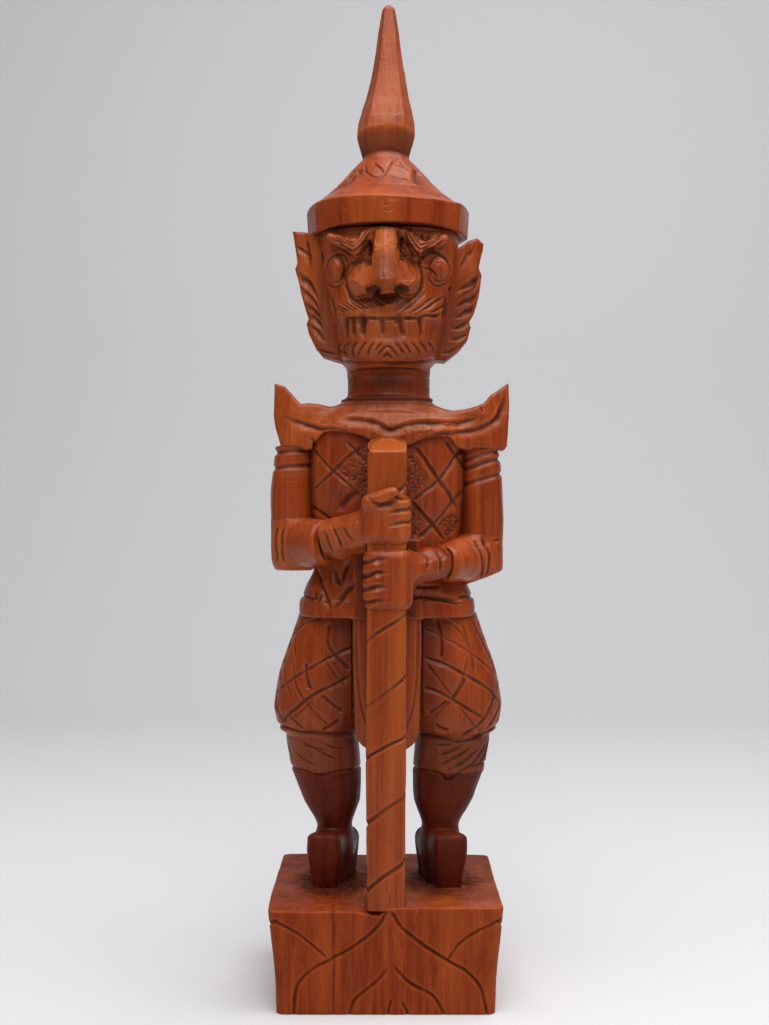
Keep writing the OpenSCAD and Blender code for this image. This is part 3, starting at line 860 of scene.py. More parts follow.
# Lines on the legs as seen from the front: distance round the leg towards the figure's left, and height.
RIGHT_THIGH = [
    [(-18.5, 107.5), (-10, 114), (0, 120.3), (8, 124.2)],
    [(-16.5, 95.5), (-10, 101.5), (-4.9, 106.1), (2, 110), (8.5, 113.6)],
    [(-3, 132.5), (-2.5, 126), (1, 121), (8, 115.2)], [(-8.6, 118), (-7.2, 113), (-5.4, 108.3)],
    [(-1.4, 106.6), (2.5, 103.6), (7, 100.6)], [(-13, 99.6), (-10, 96.8), (-7, 94.4)],
    [(0.6, 93.8), (3.4, 95.8), (6, 97.8)],
]
LEFT_THIGH = [
    [(-7.5, 120), (-1, 118), (6.7, 113.8), (14.8, 108), (19, 103)],
    [(-8.8, 109.2), (-3, 107.4), (3, 103.6), (11.5, 97.8)], [(6.6, 112.6), (4.2, 109), (0.6, 105)],
    [(-1, 104.4), (-4, 102.2), (-7.8, 99.8)], [(17, 106), (11.5, 97.5), (3, 90.8)],
    [(-6, 95.6), (-3.8, 94.6), (-1.6, 94)], [(0.8, 134), (0.6, 126), (-1, 119.5)],
]
FAINT_RIGHT = [
    [(-13.5, 134.5), (-16.5, 126.6), (-12, 118)], [(-20, 121), (-15.5, 112), (-11, 104.6)],
    [(-22, 107), (-17.5, 99.6), (-12.6, 95)], [(-2, 119), (2.6, 113.4), (6.6, 109.6)],
    [(-3.6, 105.4), (-8, 100.4), (-12, 97)], [(-13.5, 118), (-10.5, 109.6), (-4, 101.4), (4, 94)],
    [(-22, 126), (-14, 131.6), (-6, 134.6)],
]
FAINT_LEFT = [
    [(14.6, 134), (18, 124), (21.6, 113)], [(9.4, 134), (10.4, 124), (9.8, 114)],
    [(3, 134), (7.6, 130), (10.2, 123)], [(-6.6, 118.6), (-2.6, 112), (2.6, 104)],
    [(2.8, 103), (7.6, 96), (10.8, 92.6)], [(20.4, 103), (15.4, 96.4), (12.6, 93)],
    [(-8, 97), (0.4, 104.6), (5.4, 112), (8.6, 120)], [(-8, 131), (0, 128), (10.4, 121.4), (19, 113)],
]
RIGHT_FOLDS = [
    [(-10, 90), (-4, 87.5), (4, 86)], [(-6, 88.5), (2, 84.5), (9, 82.5)], [(-1, 90), (5, 87.5), (11, 86.5)],
    [(-13, 86), (-9, 83), (-3, 80.5)], [(-24, 90), (-19, 86), (-15, 81)], [(-34, 90), (-30, 86), (-26, 80)],
]
LEFT_FOLDS = [
    [(-8, 84), (-2, 85.2), (5, 88.4)], [(-7, 80.6), (1, 83), (9, 88)], [(-2, 78.6), (6, 81.8), (13, 88)],
    [(5, 78.8), (11, 81.6), (17, 88.6)], [(12, 80), (17, 83), (22, 90)], [(24, 80), (28, 84), (31, 91)],
    [(-8, 88), (-3, 88.2), (0, 88.4)],
]


def leg_cuts(c, uv, thigh, faint, net, crease, band):
    """The thigh's pattern, with a net on the side where net is 1, and the cuts above and below the knee."""
    c.strokes(thigh, 1.0, 0.85, uv=uv, taper=0.08, lean=0.45)
    diamonds(c, uv, np.clip(net, 0, 1), 0.62, 11.6, 96.0, BASE_Z + 57, HEM_Z - 1)
    c.stroke(crease, 1.2, 1.0, uv=uv, taper=0.02, lean=-0.3)
    c.stroke(band, 0.9, 0.8, uv=uv, taper=0.02, lean=0.2)
    c.strokes(faint, 0.85, 0.55, uv=uv, taper=0.15, lean=0.4, dark=0.7)


def leg_surface(c, shin_shade_and_stain, boot_seed, thigh_seed):
    """Painted shade under the coat's hem, over the shins under the thighs (with darker lacquer there), low on
    the front, above the boots and on the inner thighs beside the apron; then knife marks.
    """
    x, y, z = c.p.T
    up = z - BASE_Z
    c.darken(0.5 * ramp(z, HEM_Z - 2.2, HEM_Z))
    c.darken(shin_shade_and_stain * ramp(-up, -56, -52))
    c.darken(0.2 * ramp(-up, -85, -60) * (y < 0))
    c.darken(0.4 * (up < 41) * ramp(up, 20, 25))
    c.darken(0.6 * ramp(x, -24, -14) * ramp(-y, 0, 8) * (up > 50))
    c.facets(4.6, 0.11, boot_seed, where=up < 40)
    c.facets(6.0, 0.06, thigh_seed, where=up > 40)
    c.roughen(0.10, (2.2, 2.2, 6), 48)


def right_leg_work(c):
    uv = leg_round(c)
    u = uv[0]
    leg_cuts(c, uv, RIGHT_THIGH, FAINT_RIGHT, ramp(-u, 17.5, 20) + ramp(u, 9, 12),
             [(-54, 93.4), (-30, 93.2), (-15, 94.2), (-7, 92.6), (8, 92.0), (30, 92.6), (54, 93.4)],
             [(-54, 77.8), (-14, 79.0), (-2, 77.2), (11, 78.6), (54, 77.8)])
    c.strokes(RIGHT_FOLDS, 0.9, 0.4, uv=uv, taper=0.35, lean=-0.4)
    rays = 8
    for k in range(rays):
        turn = 2 * math.pi * k / rays
        way = np.array([math.cos(turn), math.sin(turn)])
        start = np.array([-3.4, 101.4]) + 0.9 * way
        c.stroke([start, start + 0.8 * way, start + 1.7 * way], 0.5, 0.35, uv=uv, dark=0.5)
    leg_surface(c, 0.42, 45, 47)


def left_leg_work(c):
    u, v = leg_round(c)
    u = -u
    leg_cuts(c, (u, v), LEFT_THIGH, FAINT_LEFT, ramp(u, 17.5, 20) + ramp(-u, 9, 12),
             [(-54, 92), (-30, 91.6), (-9, 91.2), (3, 89.2), (12, 91.4), (22, 93.6), (54, 92)],
             [(-54, 78), (-9, 78.4), (0, 75.4), (13, 80.6), (54, 78)])
    c.strokes(LEFT_FOLDS, 1.1, 0.8, uv=(u, v), taper=0.35, lean=-0.4)
    leg_surface(c, 0.62, 44, 46)


def apron_field(p):
    """The sash's hanging front: a long rounded tongue, gently crowned."""
    round_end = 10.5
    tip = ramp(-p[:, 2], -APRON_Z - 12, -APRON_Z)
    half = 12.3 - 0.7 * ramp(-p[:, 2], -HEM_Z + 8, -APRON_Z - 10)
    across = np.abs(p[:, 0]) / half
    down = np.maximum(APRON_Z + round_end - p[:, 2], 0) / round_end
    low = ((across ** 2.6 + down ** 2.6 + 1e-9) ** (1 / 2.6) - 1) * round_end
    crown = 0.9 * (p[:, 0] / 12.5) ** 2 + 1.6 * tip
    front = APRON_Y + 0.2 + crown - p[:, 1]
    back = p[:, 1] - APRON_Y - 7.5
    field = smooth_max(smooth_max(low, front, 1.2), back, 0.3)
    return smooth_max(field, p[:, 2] - HEM_Z - HIDDEN, 0.2)


def apron_work(c):
    c.stroke([(-10.8, HEM_Z), (-10.4, HEM_Z - 22), (-7, HEM_Z - 38), (0, HEM_Z - 43.5), (7, HEM_Z - 38),
              (10.4, HEM_Z - 22), (10.8, HEM_Z)], 0.8, 0.35, taper=0.05, dark=0.6)
    c.facets(5.0, 0.08, 51)
    # A little darker overall, and painted shade along the sides where the apron meets the thighs.
    c.darken(0.1 + 0.3 * ramp(np.abs(c.p[:, 0]), 9, 12.5))


# ---------------------------------------------------------------- coat, collar and arms

# Loft rows whose heights are measured from the hem.
COAT_ROWS = [
    (-0.5, 0, 0, 31.6, 19.8, 2.6), (0.6, 0, 0, 32, 20.2, 2.6), (5, 0, 0, 32, 19.4, 2.6),
    (6.4, 0, 0, 31.2, 18.6, 2.6), (11, 0, 0, 29.5, 17.4, 2.6), (18, 0, 0, 26.6, 16.2, 2.6),
    (32, 0, 0, 27.6, 16.6, 2.8), (50, 0, 0, 28.4, 17.4, 3.2), (69, 0, 0, 27.8, 16.8, 3.2),
]


def coat_body(p):
    return loft(p, COAT_ROWS, 0.4, HEM_Z)


def torso_field(p):
    """The coat, belted over a wide hem, with the sash's knot in front."""
    field = coat_body(p)
    sash = block(p, (0, -14.5, HEM_Z + 10), (12.2, 5.4, 18), 1.2)
    return smooth_min(field, smooth_max(sash, HEM_Z - HIDDEN - p[:, 2], 0.2), 1.5)


# Lines on the coat's front: across and height.
CHEST_RIGHT = [
    [(-27.5, 195.2), (-25.5, 193.1), (-19.3, 186.3), (-10.5, 179.3)],
    [(-27, 179.4), (-25.2, 181), (-19, 186.6), (-11.7, 193.1), (-8, 195.5)],
    [(-14.5, 197.5), (-11.2, 193.5), (-7.5, 189.5)], [(-27.5, 174), (-22, 170.5), (-18, 167)],
]
CHEST_LEFT = [
    [(9.5, 195.4), (12.5, 191.7), (17.7, 184.1), (23.5, 176.4), (26, 173)],
    [(21, 197.6), (21.6, 196.6), (24.8, 192.3), (28.5, 187.5)],
    [(29, 196), (25, 191.7), (18.9, 183.5), (13.7, 179.2), (7.6, 174.6)],
    [(8.2, 175.9), (15.8, 167.9), (20.5, 161.8)], [(27.6, 179), (23.6, 175.2), (16.8, 167.5), (10.4, 162)],
    [(21.4, 179.8), (23.8, 175.6)],
]
HEM_FLAMES = [
    ([(-25.6, 151.6), (-24, 147), (-22.3, 142.6), (-19.8, 137)], 1.5, 1.3),
    ([(-11, 148), (-13.4, 144.8), (-16, 141.4), (-19.4, 137)], 1.5, 1.3),
    ([(-18.6, 152.5), (-18, 148.5), (-16.6, 145)], 1.3, 1.1),
    ([(-13.2, 155), (-14.8, 151), (-16.8, 145.6)], 1.3, 1.1), ([(-25.6, 143.5), (-25.2, 140)], 0.8, 0.5),
    ([(-22.6, 143.4), (-24, 141), (-25.6, 139)], 0.8, 0.6), ([(-20.8, 150), (-20.4, 146)], 0.8, 0.6),
]
# The outlines of the cells of the pattern that are filled with scratches.
STIPPLED = [
    [(-18.2, 186.6), (-8, 196), (-6, 196), (-6, 177), (-9.2, 179)],
    [(6, 192), (8.4, 192), (15.8, 184), (8.4, 176), (6, 176)],
    [(7, 173.6), (10.2, 174.6), (15.2, 168.4), (9.6, 162.4), (7, 162.4)],
    [(17.4, 166.4), (20.6, 170.6), (25.4, 172), (27, 168), (22, 161.8)],
]


def torso_work(c):
    x, y, z = c.p.T
    front = y < 0
    c.strokes(CHEST_RIGHT, 0.95, 0.75, where=front, taper=0.1, lean=0.35)
    c.strokes(CHEST_LEFT, 1.15, 0.95, where=front, taper=0.1, lean=0.35)
    for line, width, depth in HEM_FLAMES:
        c.stroke(line, width, depth, where=front, taper=0.3, lean=0.3)
    c.stroke([(6.5, 141.9), (14.5, 141.8), (21.3, 140.6), (27, 139)], 1.3, 1.2, where=front,
             taper=0.1, lean=-0.5)
    c.stroke([(8, 146), (13, 145.2), (19, 145.4)], 1.0, 0.7, where=front, lean=-0.3)
    c.stroke([(-9, 179.2), (-13.5, 176.8), (-18.2, 171.9)], 2.2, 1.7, where=front, lean=0.6)
    behind = ramp(y, 1.0, 4.0)
    diamonds(c, (x, z), behind, 0.95, 13.0, 141.0, HEM_Z + 9, CHEST_Z - 1, 1.0, 0.7)
    off = np.abs(z - (HEM_Z + 6.8) - 0.5 * noise(c.p, 7, 61))
    ring = np.where(front & (np.abs(x) < 26), 0, 1) * np.clip(1 - off / 0.9, 0, 1)
    c.lower(0.7 * ring)
    c.fill(ring)
    for k, corners in enumerate(STIPPLED):
        c.scribble(corners, 36, 610 + k, where=front)
    # Painted shade down the middle of the front, behind the staff and fists, and along the sides next to the
    # arms.
    c.darken(0.45 * front * ramp(-np.abs(x), -12.6, -7))
    c.darken(0.5 * front * ramp(np.abs(x), 24.6, 27.2) * (z > HEM_Z + 20))
    c.facets(5.5, 0.08, 63)
    c.roughen(0.10, (2.4, 2.4, 7), 64)


# Outlines of the collar's wings, as across and height over the chest, and the collar's lower edge in front.
WING_RIGHT = [
    (-16, -1), (-24, -1.6), (-28.4, -3.8), (-38.6, -3.8), (-39.2, -1), (-40.4, 3), (-41.2, 8), (-41, 14),
    (-41, 19.6), (-37, 18.4), (-34.2, 15.4), (-31, 11.8), (-28.4, 12.2), (-24.4, 11.8), (-20.4, 10.8),
    (-16, 11),
]
WING_LEFT = [
    (16, -1), (24, -1.6), (28.4, -4), (42.4, -5), (43.5, -3.4), (44, 4), (44.4, 12), (44.2, 19.8),
    (41, 17.6), (37.4, 15.2), (34.8, 12.2), (32, 11), (28, 9.9), (24, 9.4), (19.4, 10), (16, 10.6),
]
DRAPE = [
    (-28, 199.8), (-23, 200.4), (-14.8, 200.2), (-9, 198.6), (-4.8, 196.6), (0, 194.6), (7.6, 195.2),
    (12.2, 197.4), (18.4, 198.6), (23, 198.2), (28, 196.6),
]


def collar_field(p):
    """The shoulder piece: a round neck, two wings with turned-up tips, and a lower edge that hangs in curves
    over the coat in front."""
    rows = [(-4, 0, 0, 28.8, 18.8, 3.2), (2, 0, -0.2, 28.6, 19.2, 3.1), (7, 0, 0, 24.5, 18.2, 2.6),
            (10, 0, 0.3, 19.6, 16.8, 2.4), (12.5, 0, 0.6, 16.4, 15.6, 2.3)]
    field = loft(p, rows, 0.5, CHEST_Z)
    out = np.abs(p[:, 0])
    for wing in (WING_RIGHT, WING_LEFT):
        sheet = outline(p[:, 0], p[:, 2] - CHEST_Z, wing)
        thick = 10.6 - 3.2 * ramp(out, 30, 43) - 0.16 * np.maximum(p[:, 2] - CHEST_Z - 8, 0)
        slab = np.abs(p[:, 1] + 0.4) - thick
        field = smooth_min(field, smooth_max(sheet, slab, 1.6), 4.5)
    drape = np.interp(p[:, 0], *zip(*DRAPE)) - 3.5 * ramp(out, 21, 26.6) - 30 * ramp(out, 26.4, 27.8)
    drape = np.where(p[:, 1] < 6, drape, CHEST_Z - HIDDEN)
    return smooth_max(field, drape - p[:, 2], 0.8)


COLLAR_LINES = [
    ([(-16.6, 205), (-7.5, 204.2), (-2.6, 202.8), (1.3, 200.6), (6.5, 202.6), (14.6, 203.6), (25, 203.8),
      (32.5, 205.4)], 0.1),
    ([(-37, 206.4), (-33, 204.6), (-29, 203), (-24.5, 201.8), (-19, 200.9), (-14, 200.4)], 0.2),
    ([(13, 197.9), (18, 199), (23, 199.8), (27, 200.6), (31, 201.2), (35.6, 202.8), (39.6, 205.4),
      (42, 211), (42.6, 216)], 0.15),
]
COLLAR_BACK = [
    [(34, 205.2), (20, 202), (0, 198.5), (-20, 202), (-34, 205.2)],
    [(24, 207), (10, 204.4), (0, 203), (-10, 204.4), (-24, 207)],
]


def collar_work(c):
    x, y, z = c.p.T
    front = y < 2
    for line, taper in COLLAR_LINES:
        c.stroke(line, 1.5, 1.2, where=front, taper=taper, lean=0.5)
    c.stroke([(-28, 198.2), (-24, 195)], 0.9, 0.6, where=front)
    c.stroke([(-6, 207.6), (4, 207.9), (12, 206.8)], 0.9, 0.3, where=front, dark=0.4)
    c.stroke([(33.6, 209.8), (34.4, 207)], 0.8, 0.5, where=front, dark=0.6)
    c.strokes(COLLAR_BACK, 1.4, 1.0, side="back", where=y > 4, taper=0.1, lean=0.5)
    # Painted shade round the foot of the neck.
    ring = np.abs(z - (NECK_Z - 0.5))
    c.darken(0.5 * np.clip(1 - ring / 1.2, 0, 1) * (np.abs(x) < 17))
    weave = front & (x > 4) & (x < 16) & (z > 197.5) & (z < 202.6)
    speck = np.maximum(noise(c.p, 0.9, 71), 0) * weave
    c.lower(0.35 * speck)
    c.fill(0.6 * speck)
    c.facets(5.0, 0.10, 72)
    c.roughen(0.08, (2.5, 2.5, 6), 73)


def upper_arm_field(p, elbow_z):
    rows = [(elbow_z - 1.0, -34.4, 0, 8.0, 9.6, 2.8), (elbow_z + 6, -34.5, 0, 8.1, 9.8, 2.8),
            (elbow_z + 14, -34.3, 0, 8.0, 9.8, 2.8), (CHEST_Z - 13.5, -34.1, 0, 7.8, 9.6, 2.8),
            (CHEST_Z - 9, -33.8, 0, 7.6, 9.2, 2.8), (CHEST_Z - 3, -33.4, 0, 7.4, 9.0, 2.8)]
    field = loft(p, rows, 0.4)
    return np.maximum(field, p[:, 0] + SIDE_X - 0.8)


def armlet(c, low, tilt):
    """Two cut rings with a raised band between them, slanting by tilt across the arm's front."""
    z = c.p[:, 2]
    lean = tilt * (-c.p[:, 0] - 34.5) / 7.0
    for height, strength in ((low, 1.0), (low + 5.6, 0.9), (low + 8.8, 0.6)):
        off = np.abs(z - height - lean)
        power = strength * np.clip(0.85 + 0.4 * noise(c.p, 5, 81), 0, 1)
        c.lower(1.15 * power * np.clip(1 - off / 1.25, 0, 1))
        c.fill(power * np.clip(1.1 - off / 0.95, 0, 1))
        c.wear_and_highlight(0.6 * np.clip(1 - np.abs(off - 1.5) / 0.5, 0, 1))


def upper_arm_work(c, seed):
    # Painted shade on the arm's inner side, against the coat.
    c.darken(0.4 * ramp(c.p[:, 0], -29.4, -27.4))
    c.facets(5.0, 0.12, seed)
    c.roughen(0.08, (2.2, 2.2, 8), 84)


def right_arm_work(c):
    armlet(c, 188.2, -0.5)
    upper_arm_work(c, 83)


def left_arm_work(c):
    armlet(c, 183.6, 2.0)
    upper_arm_work(c, 82)


def forearm_field(p, elbow, cuff, top_z, low_z, tilt, radii):
    """A sleeve from the elbow block to the cuff, flat against the coat behind."""
    rows = [(low_z - 1, elbow[0] + 0.9, 0, 6.6, 8.6, 2.5), (low_z + 3, elbow[0] + 0.1, 0, 7.6, 9.4, 2.6),
            (low_z + 9, elbow[0], 0, 8.0, 9.8, 2.8), (top_z + 1, elbow[0], 0, 8.0, 9.8, 2.8)]
    field = loft(p, rows, 0.8)
    start = np.array((elbow[0] + 4, -4.5, elbow[2]))
    sleeve = rod(p, start, cuff, *radii)
    way = np.asarray(cuff) - start
    end = (p - np.asarray(cuff)) @ (way / np.linalg.norm(way))
    field = smooth_min(field, smooth_max(sleeve, end, 2.4), 2.5)
    floor = low_z - tilt * (p[:, 0] + 28.5) - p[:, 2]
    return smooth_max(field, np.maximum(floor, p[:, 2] - top_z - 0.4), 1.2)


RIGHT_CUFF = (-20.5, -19.2, 161.2)
LEFT_CUFF = (-19.6, -19.2, 153.5)
# Each forearm's elbow, cuff, upper and lower height, rise of its underside, and radii at elbow and cuff.
RIGHT_ARM = ((-34.5, 0, 160.4), RIGHT_CUFF, 169.6, 150.4, 0.0, (9.4, 7.8))
LEFT_ARM = ((-34.4, 0, 155.2), LEFT_CUFF, 164.0, 145.3, 0.37, (8.8, 6.5))


def sleeve_work(c, rings, top_z, seed):
    """The rings cut round the elbow and a line of painted shade where the upper arm stands on the sleeve."""
    z = c.p[:, 2]
    c.strokes(rings, 0.95, 0.85, taper=0.12, lean=0.2)
    at_elbow = c.p[:, 0] < -27
    c.darken(0.4 * ramp(z, top_z - 1.4, top_z - 0.2) * at_elbow)
    junction = at_elbow * ramp(z, top_z - 5.5, top_z - 3.5)
    c.lower(0.35 * junction * np.maximum(noise(c.p, (1.8, 1.8, 1.2), 89), 0))
    c.facets(5.5, 0.10, seed)
    c.roughen(0.08, (3, 3, 3), 88)


def right_sleeve_work(c):
    c.stroke([(-20.9, 168.2), (-23.2, 164.5), (-23.0, 158.2), (-21.4, 154.6)], 0.9, 0.5, lean=-0.4, taper=0.1)
    rings = [[(-39.6, 167.2), (-40.4, 161), (-39.6, 154)], [(-37.4, 166.4), (-38.1, 160), (-37.4, 153.4)]]
    sleeve_work(c, rings, RIGHT_ARM[2], 87)


def left_sleeve_work(c):
    c.stroke([(-41, 162.2), (-38.6, 161.2)], 1.2, 1.0)
    c.stroke([(-20.6, 159.6), (-22.6, 156.4), (-22.4, 151), (-20.8, 147.8)], 0.9, 0.6, lean=-0.4, taper=0.1)
    rings = [[(-33.8, 162.6), (-36.6, 157.6), (-36.8, 152), (-35.4, 148.2)],
             [(-31, 162.2), (-34, 157), (-34.6, 151.6), (-33.6, 147.6)]]
    sleeve_work(c, rings, LEFT_ARM[2], 86)


def hand_field(p, right):
    """A fist round the staff, with the back of the hand running to the cuff, and on the right hand a thumb on
    top.
    Written for the right hand; the left one is this seen in a mirror, lower and a little taller."""
    low, high = (159.8, 178.6) if right else (137.0, 160.0)
    cuff = RIGHT_CUFF if right else LEFT_CUFF
    mid = (low + high) / 2
    fist = block(p, (-0.35, -30.2, mid), (8.8, 7.8, (high - low) / 2), 4.8)
    if right:
        wrist = faceted(p, (-21, -18.6, 162.4), (-6.5, -28.6, 165.4),
                        [(45, 6.3), (-15, 5.6), (-65, 6.4), (95, 6.6), (180, 6.0), (-130, 6.0)], 1.08)
    else:
        wrist = faceted(p, cuff, (-6.5, -28.6, 151.2),
                        [(58, 4.7), (8, 5.2), (-45, 4.6), (-95, 4.8), (110, 5.2), (180, 6.0)], 1.15)
    heel = ball(p, (cuff[0] + 5.5, cuff[1] - 1.5, cuff[2]), (5.2, 5.2, 6.2))
    field = smooth_min(smooth_min(fist, wrist, 3.0), heel, 1.8)
    thumb = rod(p, (-6, -35.8, high - 3.5), (1.8, -37.6, high - 0.6), 3.0, 2.5)
    if right:
        field = smooth_min(field, thumb, 1.0)
        field = smooth_max(field, p[:, 2] - 173.4 - 0.25 * (p[:, 0] + 8) - 30 * ramp(p[:, 0], -10, -7), 0.8)
    field = smooth_max(field, -staff_side(p), 0.3)
    return smooth_max(field, -coat_body(p) - 0.6, 0.5)


def finger(c, line, depth, lean, side_line, side_depth):
    """The cut between two fingers: round the front of the fist and along its far side."""
    c.stroke(line, 1.3, depth, where=c.p[:, 1] < -30, taper=0.4, lean=lean, ends=(True, False))
    c.stroke(side_line, 1.2, side_depth, "left", taper=0.3)


def hand_surface(c, creases, cuff, seed):
    """Creases on the wrist, a darker colour round the cuff, and knife marks."""
    c.strokes(creases, 0.95, 0.7, where=c.p[:, 1] < -14, taper=0.3, lean=0.3)
    off = np.linalg.norm(c.p - np.asarray(cuff), axis=1)
    c.darken(0.3 * ramp(-off, -8.5, -5.5))
    c.facets(3.6, 0.14, seed)
    c.roughen(0.08, 2.2, 93)


def right_hand_work(c):
    for inner_z, tip_z in ((175.4, 177.0), (171.2, 172.8), (166.6, 168.4)):
        finger(c, [(0.6, inner_z), (4, (inner_z + tip_z) / 2 + 0.3), (9.6, tip_z)], 1.35, -0.3,
               [(-27, inner_z), (-31, tip_z), (-38, tip_z)], 1.2)
    thumbnail = [(-6.4, 176.5), (-3, 174.2), (0.6, 174.4), (3.6, 176)]
    c.stroke(thumbnail, 1.2, 1.0, where=c.p[:, 1] < -30, lean=0.3)
    creases = [[(-19.5, 167.6), (-17.5, 163), (-15.5, 158.6)], [(-15.6, 167.4), (-13.8, 164), (-11.4, 161.8)],
               [(-22, 165.6), (-20.6, 160.6), (-18.6, 156.8)]]
    hand_surface(c, creases, RIGHT_CUFF, 92)


def left_hand_work(c):
    for inner_z, tip_z in ((155.9, 154.2), (151.4, 149.4), (146.6, 145.0), (141.8, 140.6)):
        finger(c, [(-0.3, inner_z), (3.6, inner_z - 0.3), (9.4, tip_z)], 1.25, 0.3,
               [(-22, tip_z), (-30, tip_z), (-38, tip_z)], 1.0)
    creases = [[(-12, 158.4), (-14.4, 155), (-13.4, 151)], [(-17.4, 158.6), (-19, 154.6), (-18.2, 150)]]
    hand_surface(c, creases, LEFT_CUFF, 91)


# ---------------------------------------------------------------- head, ears, cap and finial

# Loft rows whose heights are measured from the cap's lower edge, as all heights on the head and the ears are.
HEAD_ROWS = [
    (-61, 0, 1, 17.6, 16.4, 2.2), (-58.8, 0, 1, 17.2, 16, 2.2), (-57.4, 0.5, 1, 15.3, 14.6, 2.2),
    (-52, 0.6, 1, 15.2, 14.5, 2.2), (-49, 0.6, 0, 15.6, 16.5, 2.3), (-47, 0.5, -1, 15.8, 20, 2.5),
    (-43.5, 0.5, -1, 18.4, 21.8, 2.7), (-36, 0.5, -0.5, 20.3, 22.2, 2.8), (-28, 0.5, -0.3, 21.6, 22.6, 2.8),
    (-18, 0.5, 0, 23.8, 22.8, 2.7), (-10, 0.5, 0, 25.2, 23.2, 2.6), (0.5, 0.5, 0, 25.8, 24, 2.6),
]


def skull(p):
    return loft(p, HEAD_ROWS, 0.5, RIM_Z)


NOSE_FLAT = 1.6       # how much wider the bridge is than it is deep
NOSTRILS = [(-4.6, -30, -23.4), (5.2, -29.6, -23)]
# Flat cuts across each wing of the nose: their direction, and the place of a point on them, whose x is
# a share of the way out to the wing's side.
NOSE_CUTS = [
    (0.75, -0.5, 0.43, 1, -27.4, -17), (0.72, -0.52, -0.46, 1, -27.4, -20.6),
    (0.3, -0.93, 0.2, 0.7, -28.4, -17),
]


def head_field(p):
    """The ogre's head: heavy brows, round eyes, a big wedge of a nose, bared teeth and a blunt jaw."""
    q = p - np.array([0, 0, RIM_Z])
    field = skull(p)
    for x in (-17.6, 18.0):
        field = smooth_max(field, -ball(q, (x, -24.0, -13.4), (6.0, 4.4, 6.8)), 1.6)
    for s, t in ((-1, 0.0), (1, -0.6)):
        brow = smooth_min(rod(q, (s * 6.3, -24.2, -2), (s * 11, -24.4, -7.2 + t), 2.2, 2.7),
                          rod(q, (s * 11, -24.4, -7.2 + t), (s * 20, -20.2, -3.0 + t), 2.7, 1.8), 1.5)
        field = smooth_min(field, brow, 1.5)
    field = smooth_min(field, ball(q, (-17.4, -17.3, -13.8), (3.4, 4.5, 5.0)), 0.5)
    field = smooth_min(field, ball(q, (18.0, -17.3, -13.6), (4.4, 4.7, 5.0)), 0.5)
    muzzle = ball(q, (-0.5, -16, -29), (18, 9.5, 8))
    bite = ball(q, (0, -15.5, -35.5), (15.5, 9.4, 6))
    chin = ball(q, (0, -15.5, -42), (15.5, 10.0, 6.6))
    field = smooth_min(smooth_min(smooth_min(field, muzzle, 3.0), bite, 2.0), chin, 3.0)
    flat = q * np.array([1, NOSE_FLAT, 1])
    bridge = rod(flat, (-0.5, -24.4 * NOSE_FLAT, 0), (-0.8, -29.8 * NOSE_FLAT, -20), 5.3, 5.2) * 0.8
    bridge = smooth_max(bridge, q[:, 2] + 0.4, 1.0)
    tip = ball(q, (-0.8, -28.8, -20.6), (5.0, 4.2, 5.0))
    wing_right = ball(q, (-8.6, -24.4, -18.6), (5.4, 5.6, 6.4))
    wing_left = ball(q, (6.9, -24.4, -17.6), (4.9, 5.6, 6.8))
    wings = smooth_min(wing_right, wing_left, 0.5)
    for x, side in ((-10.9, -1), (9.1, 1)):
        for across, out, up, share, y, z in NOSE_CUTS:
            corner = np.array((x * share, y, z))
            wings = smooth_max(wings, (q - corner) @ np.array((side * across, out, up)), 0.3)
    nose = smooth_min(smooth_min(bridge, tip, 1.6), wings, 0.9)
    nose = smooth_max(nose, -q[:, 2] - 24.6 - 0.12 * (q[:, 1] + 28), 0.9)
    field = smooth_min(field, nose, 0.8)
    for nostril in NOSTRILS:
        field = smooth_max(field, -ball(q, nostril, (2.5, 3.0, 1.2)), 0.4)
    return field


# Lines on the face, as across and height from the cap's lower edge; some with their width and depth.
BROWS = [
    [(6.2, -0.9), (7.2, -6.4), (11.2, -10.4), (15.8, -8), (20.4, -4)],
    [(7.8, -1), (8.8, -5), (11.8, -8.4), (16.2, -5.9), (19.8, -2.6)],
    [(9.8, -1.2), (10.6, -3.9), (12.4, -6.2), (16.4, -3.8), (18.8, -1.6)],
    [(12, -1.6), (12.8, -3.8), (15.4, -2.4)],
    [(-6.1, -0.9), (-7.4, -5.8), (-11.4, -9.4), (-15.6, -7.2), (-19.4, -3.4)],
    [(-7.8, -1.2), (-9, -4.8), (-12, -7.4), (-16, -5), (-18.8, -2)],
    [(-9.8, -1.4), (-10.8, -3.8), (-12.8, -5.2), (-16.2, -2.9)],
]
LIDS = [
    ([(12.4, -11.4), (14, -8.9), (16.8, -8), (20.4, -9.2), (22.4, -12), (22.6, -14.6)], 1.2, 1.3),
    ([(14.4, -16.6), (16, -18.9), (18.6, -19.6), (21.4, -18.2)], 0.7, 0.5),
    ([(-22.2, -13), (-21, -9.9), (-18.2, -8.6), (-15.4, -9.4), (-13.8, -12.2)], 0.75, 0.6),
    ([(-21.4, -18.2), (-19.6, -19.6), (-17.4, -19.8), (-15, -18)], 0.7, 0.5),
]
NOSE_FOLDS = [
    ([(-5.2, -1), (-5.6, -6), (-6.2, -10.5)], 0.9, 0.7), ([(4.2, -1), (4.6, -6), (4.8, -9.6)], 0.9, 0.7),
    ([(-14, -12.6), (-14.9, -18), (-13, -24.2), (-9.4, -26)], 0.95, 0.9),
    ([(10.8, -9.8), (12.4, -15.8), (11.8, -21.8), (8.6, -25.2)], 0.95, 0.9),
    ([(-10.9, -11.6), (-13.2, -12.2), (-14.4, -14)], 0.7, 0.5),
    ([(11.8, -13), (15, -14.2), (17.2, -17)], 0.8, 0.6),
]
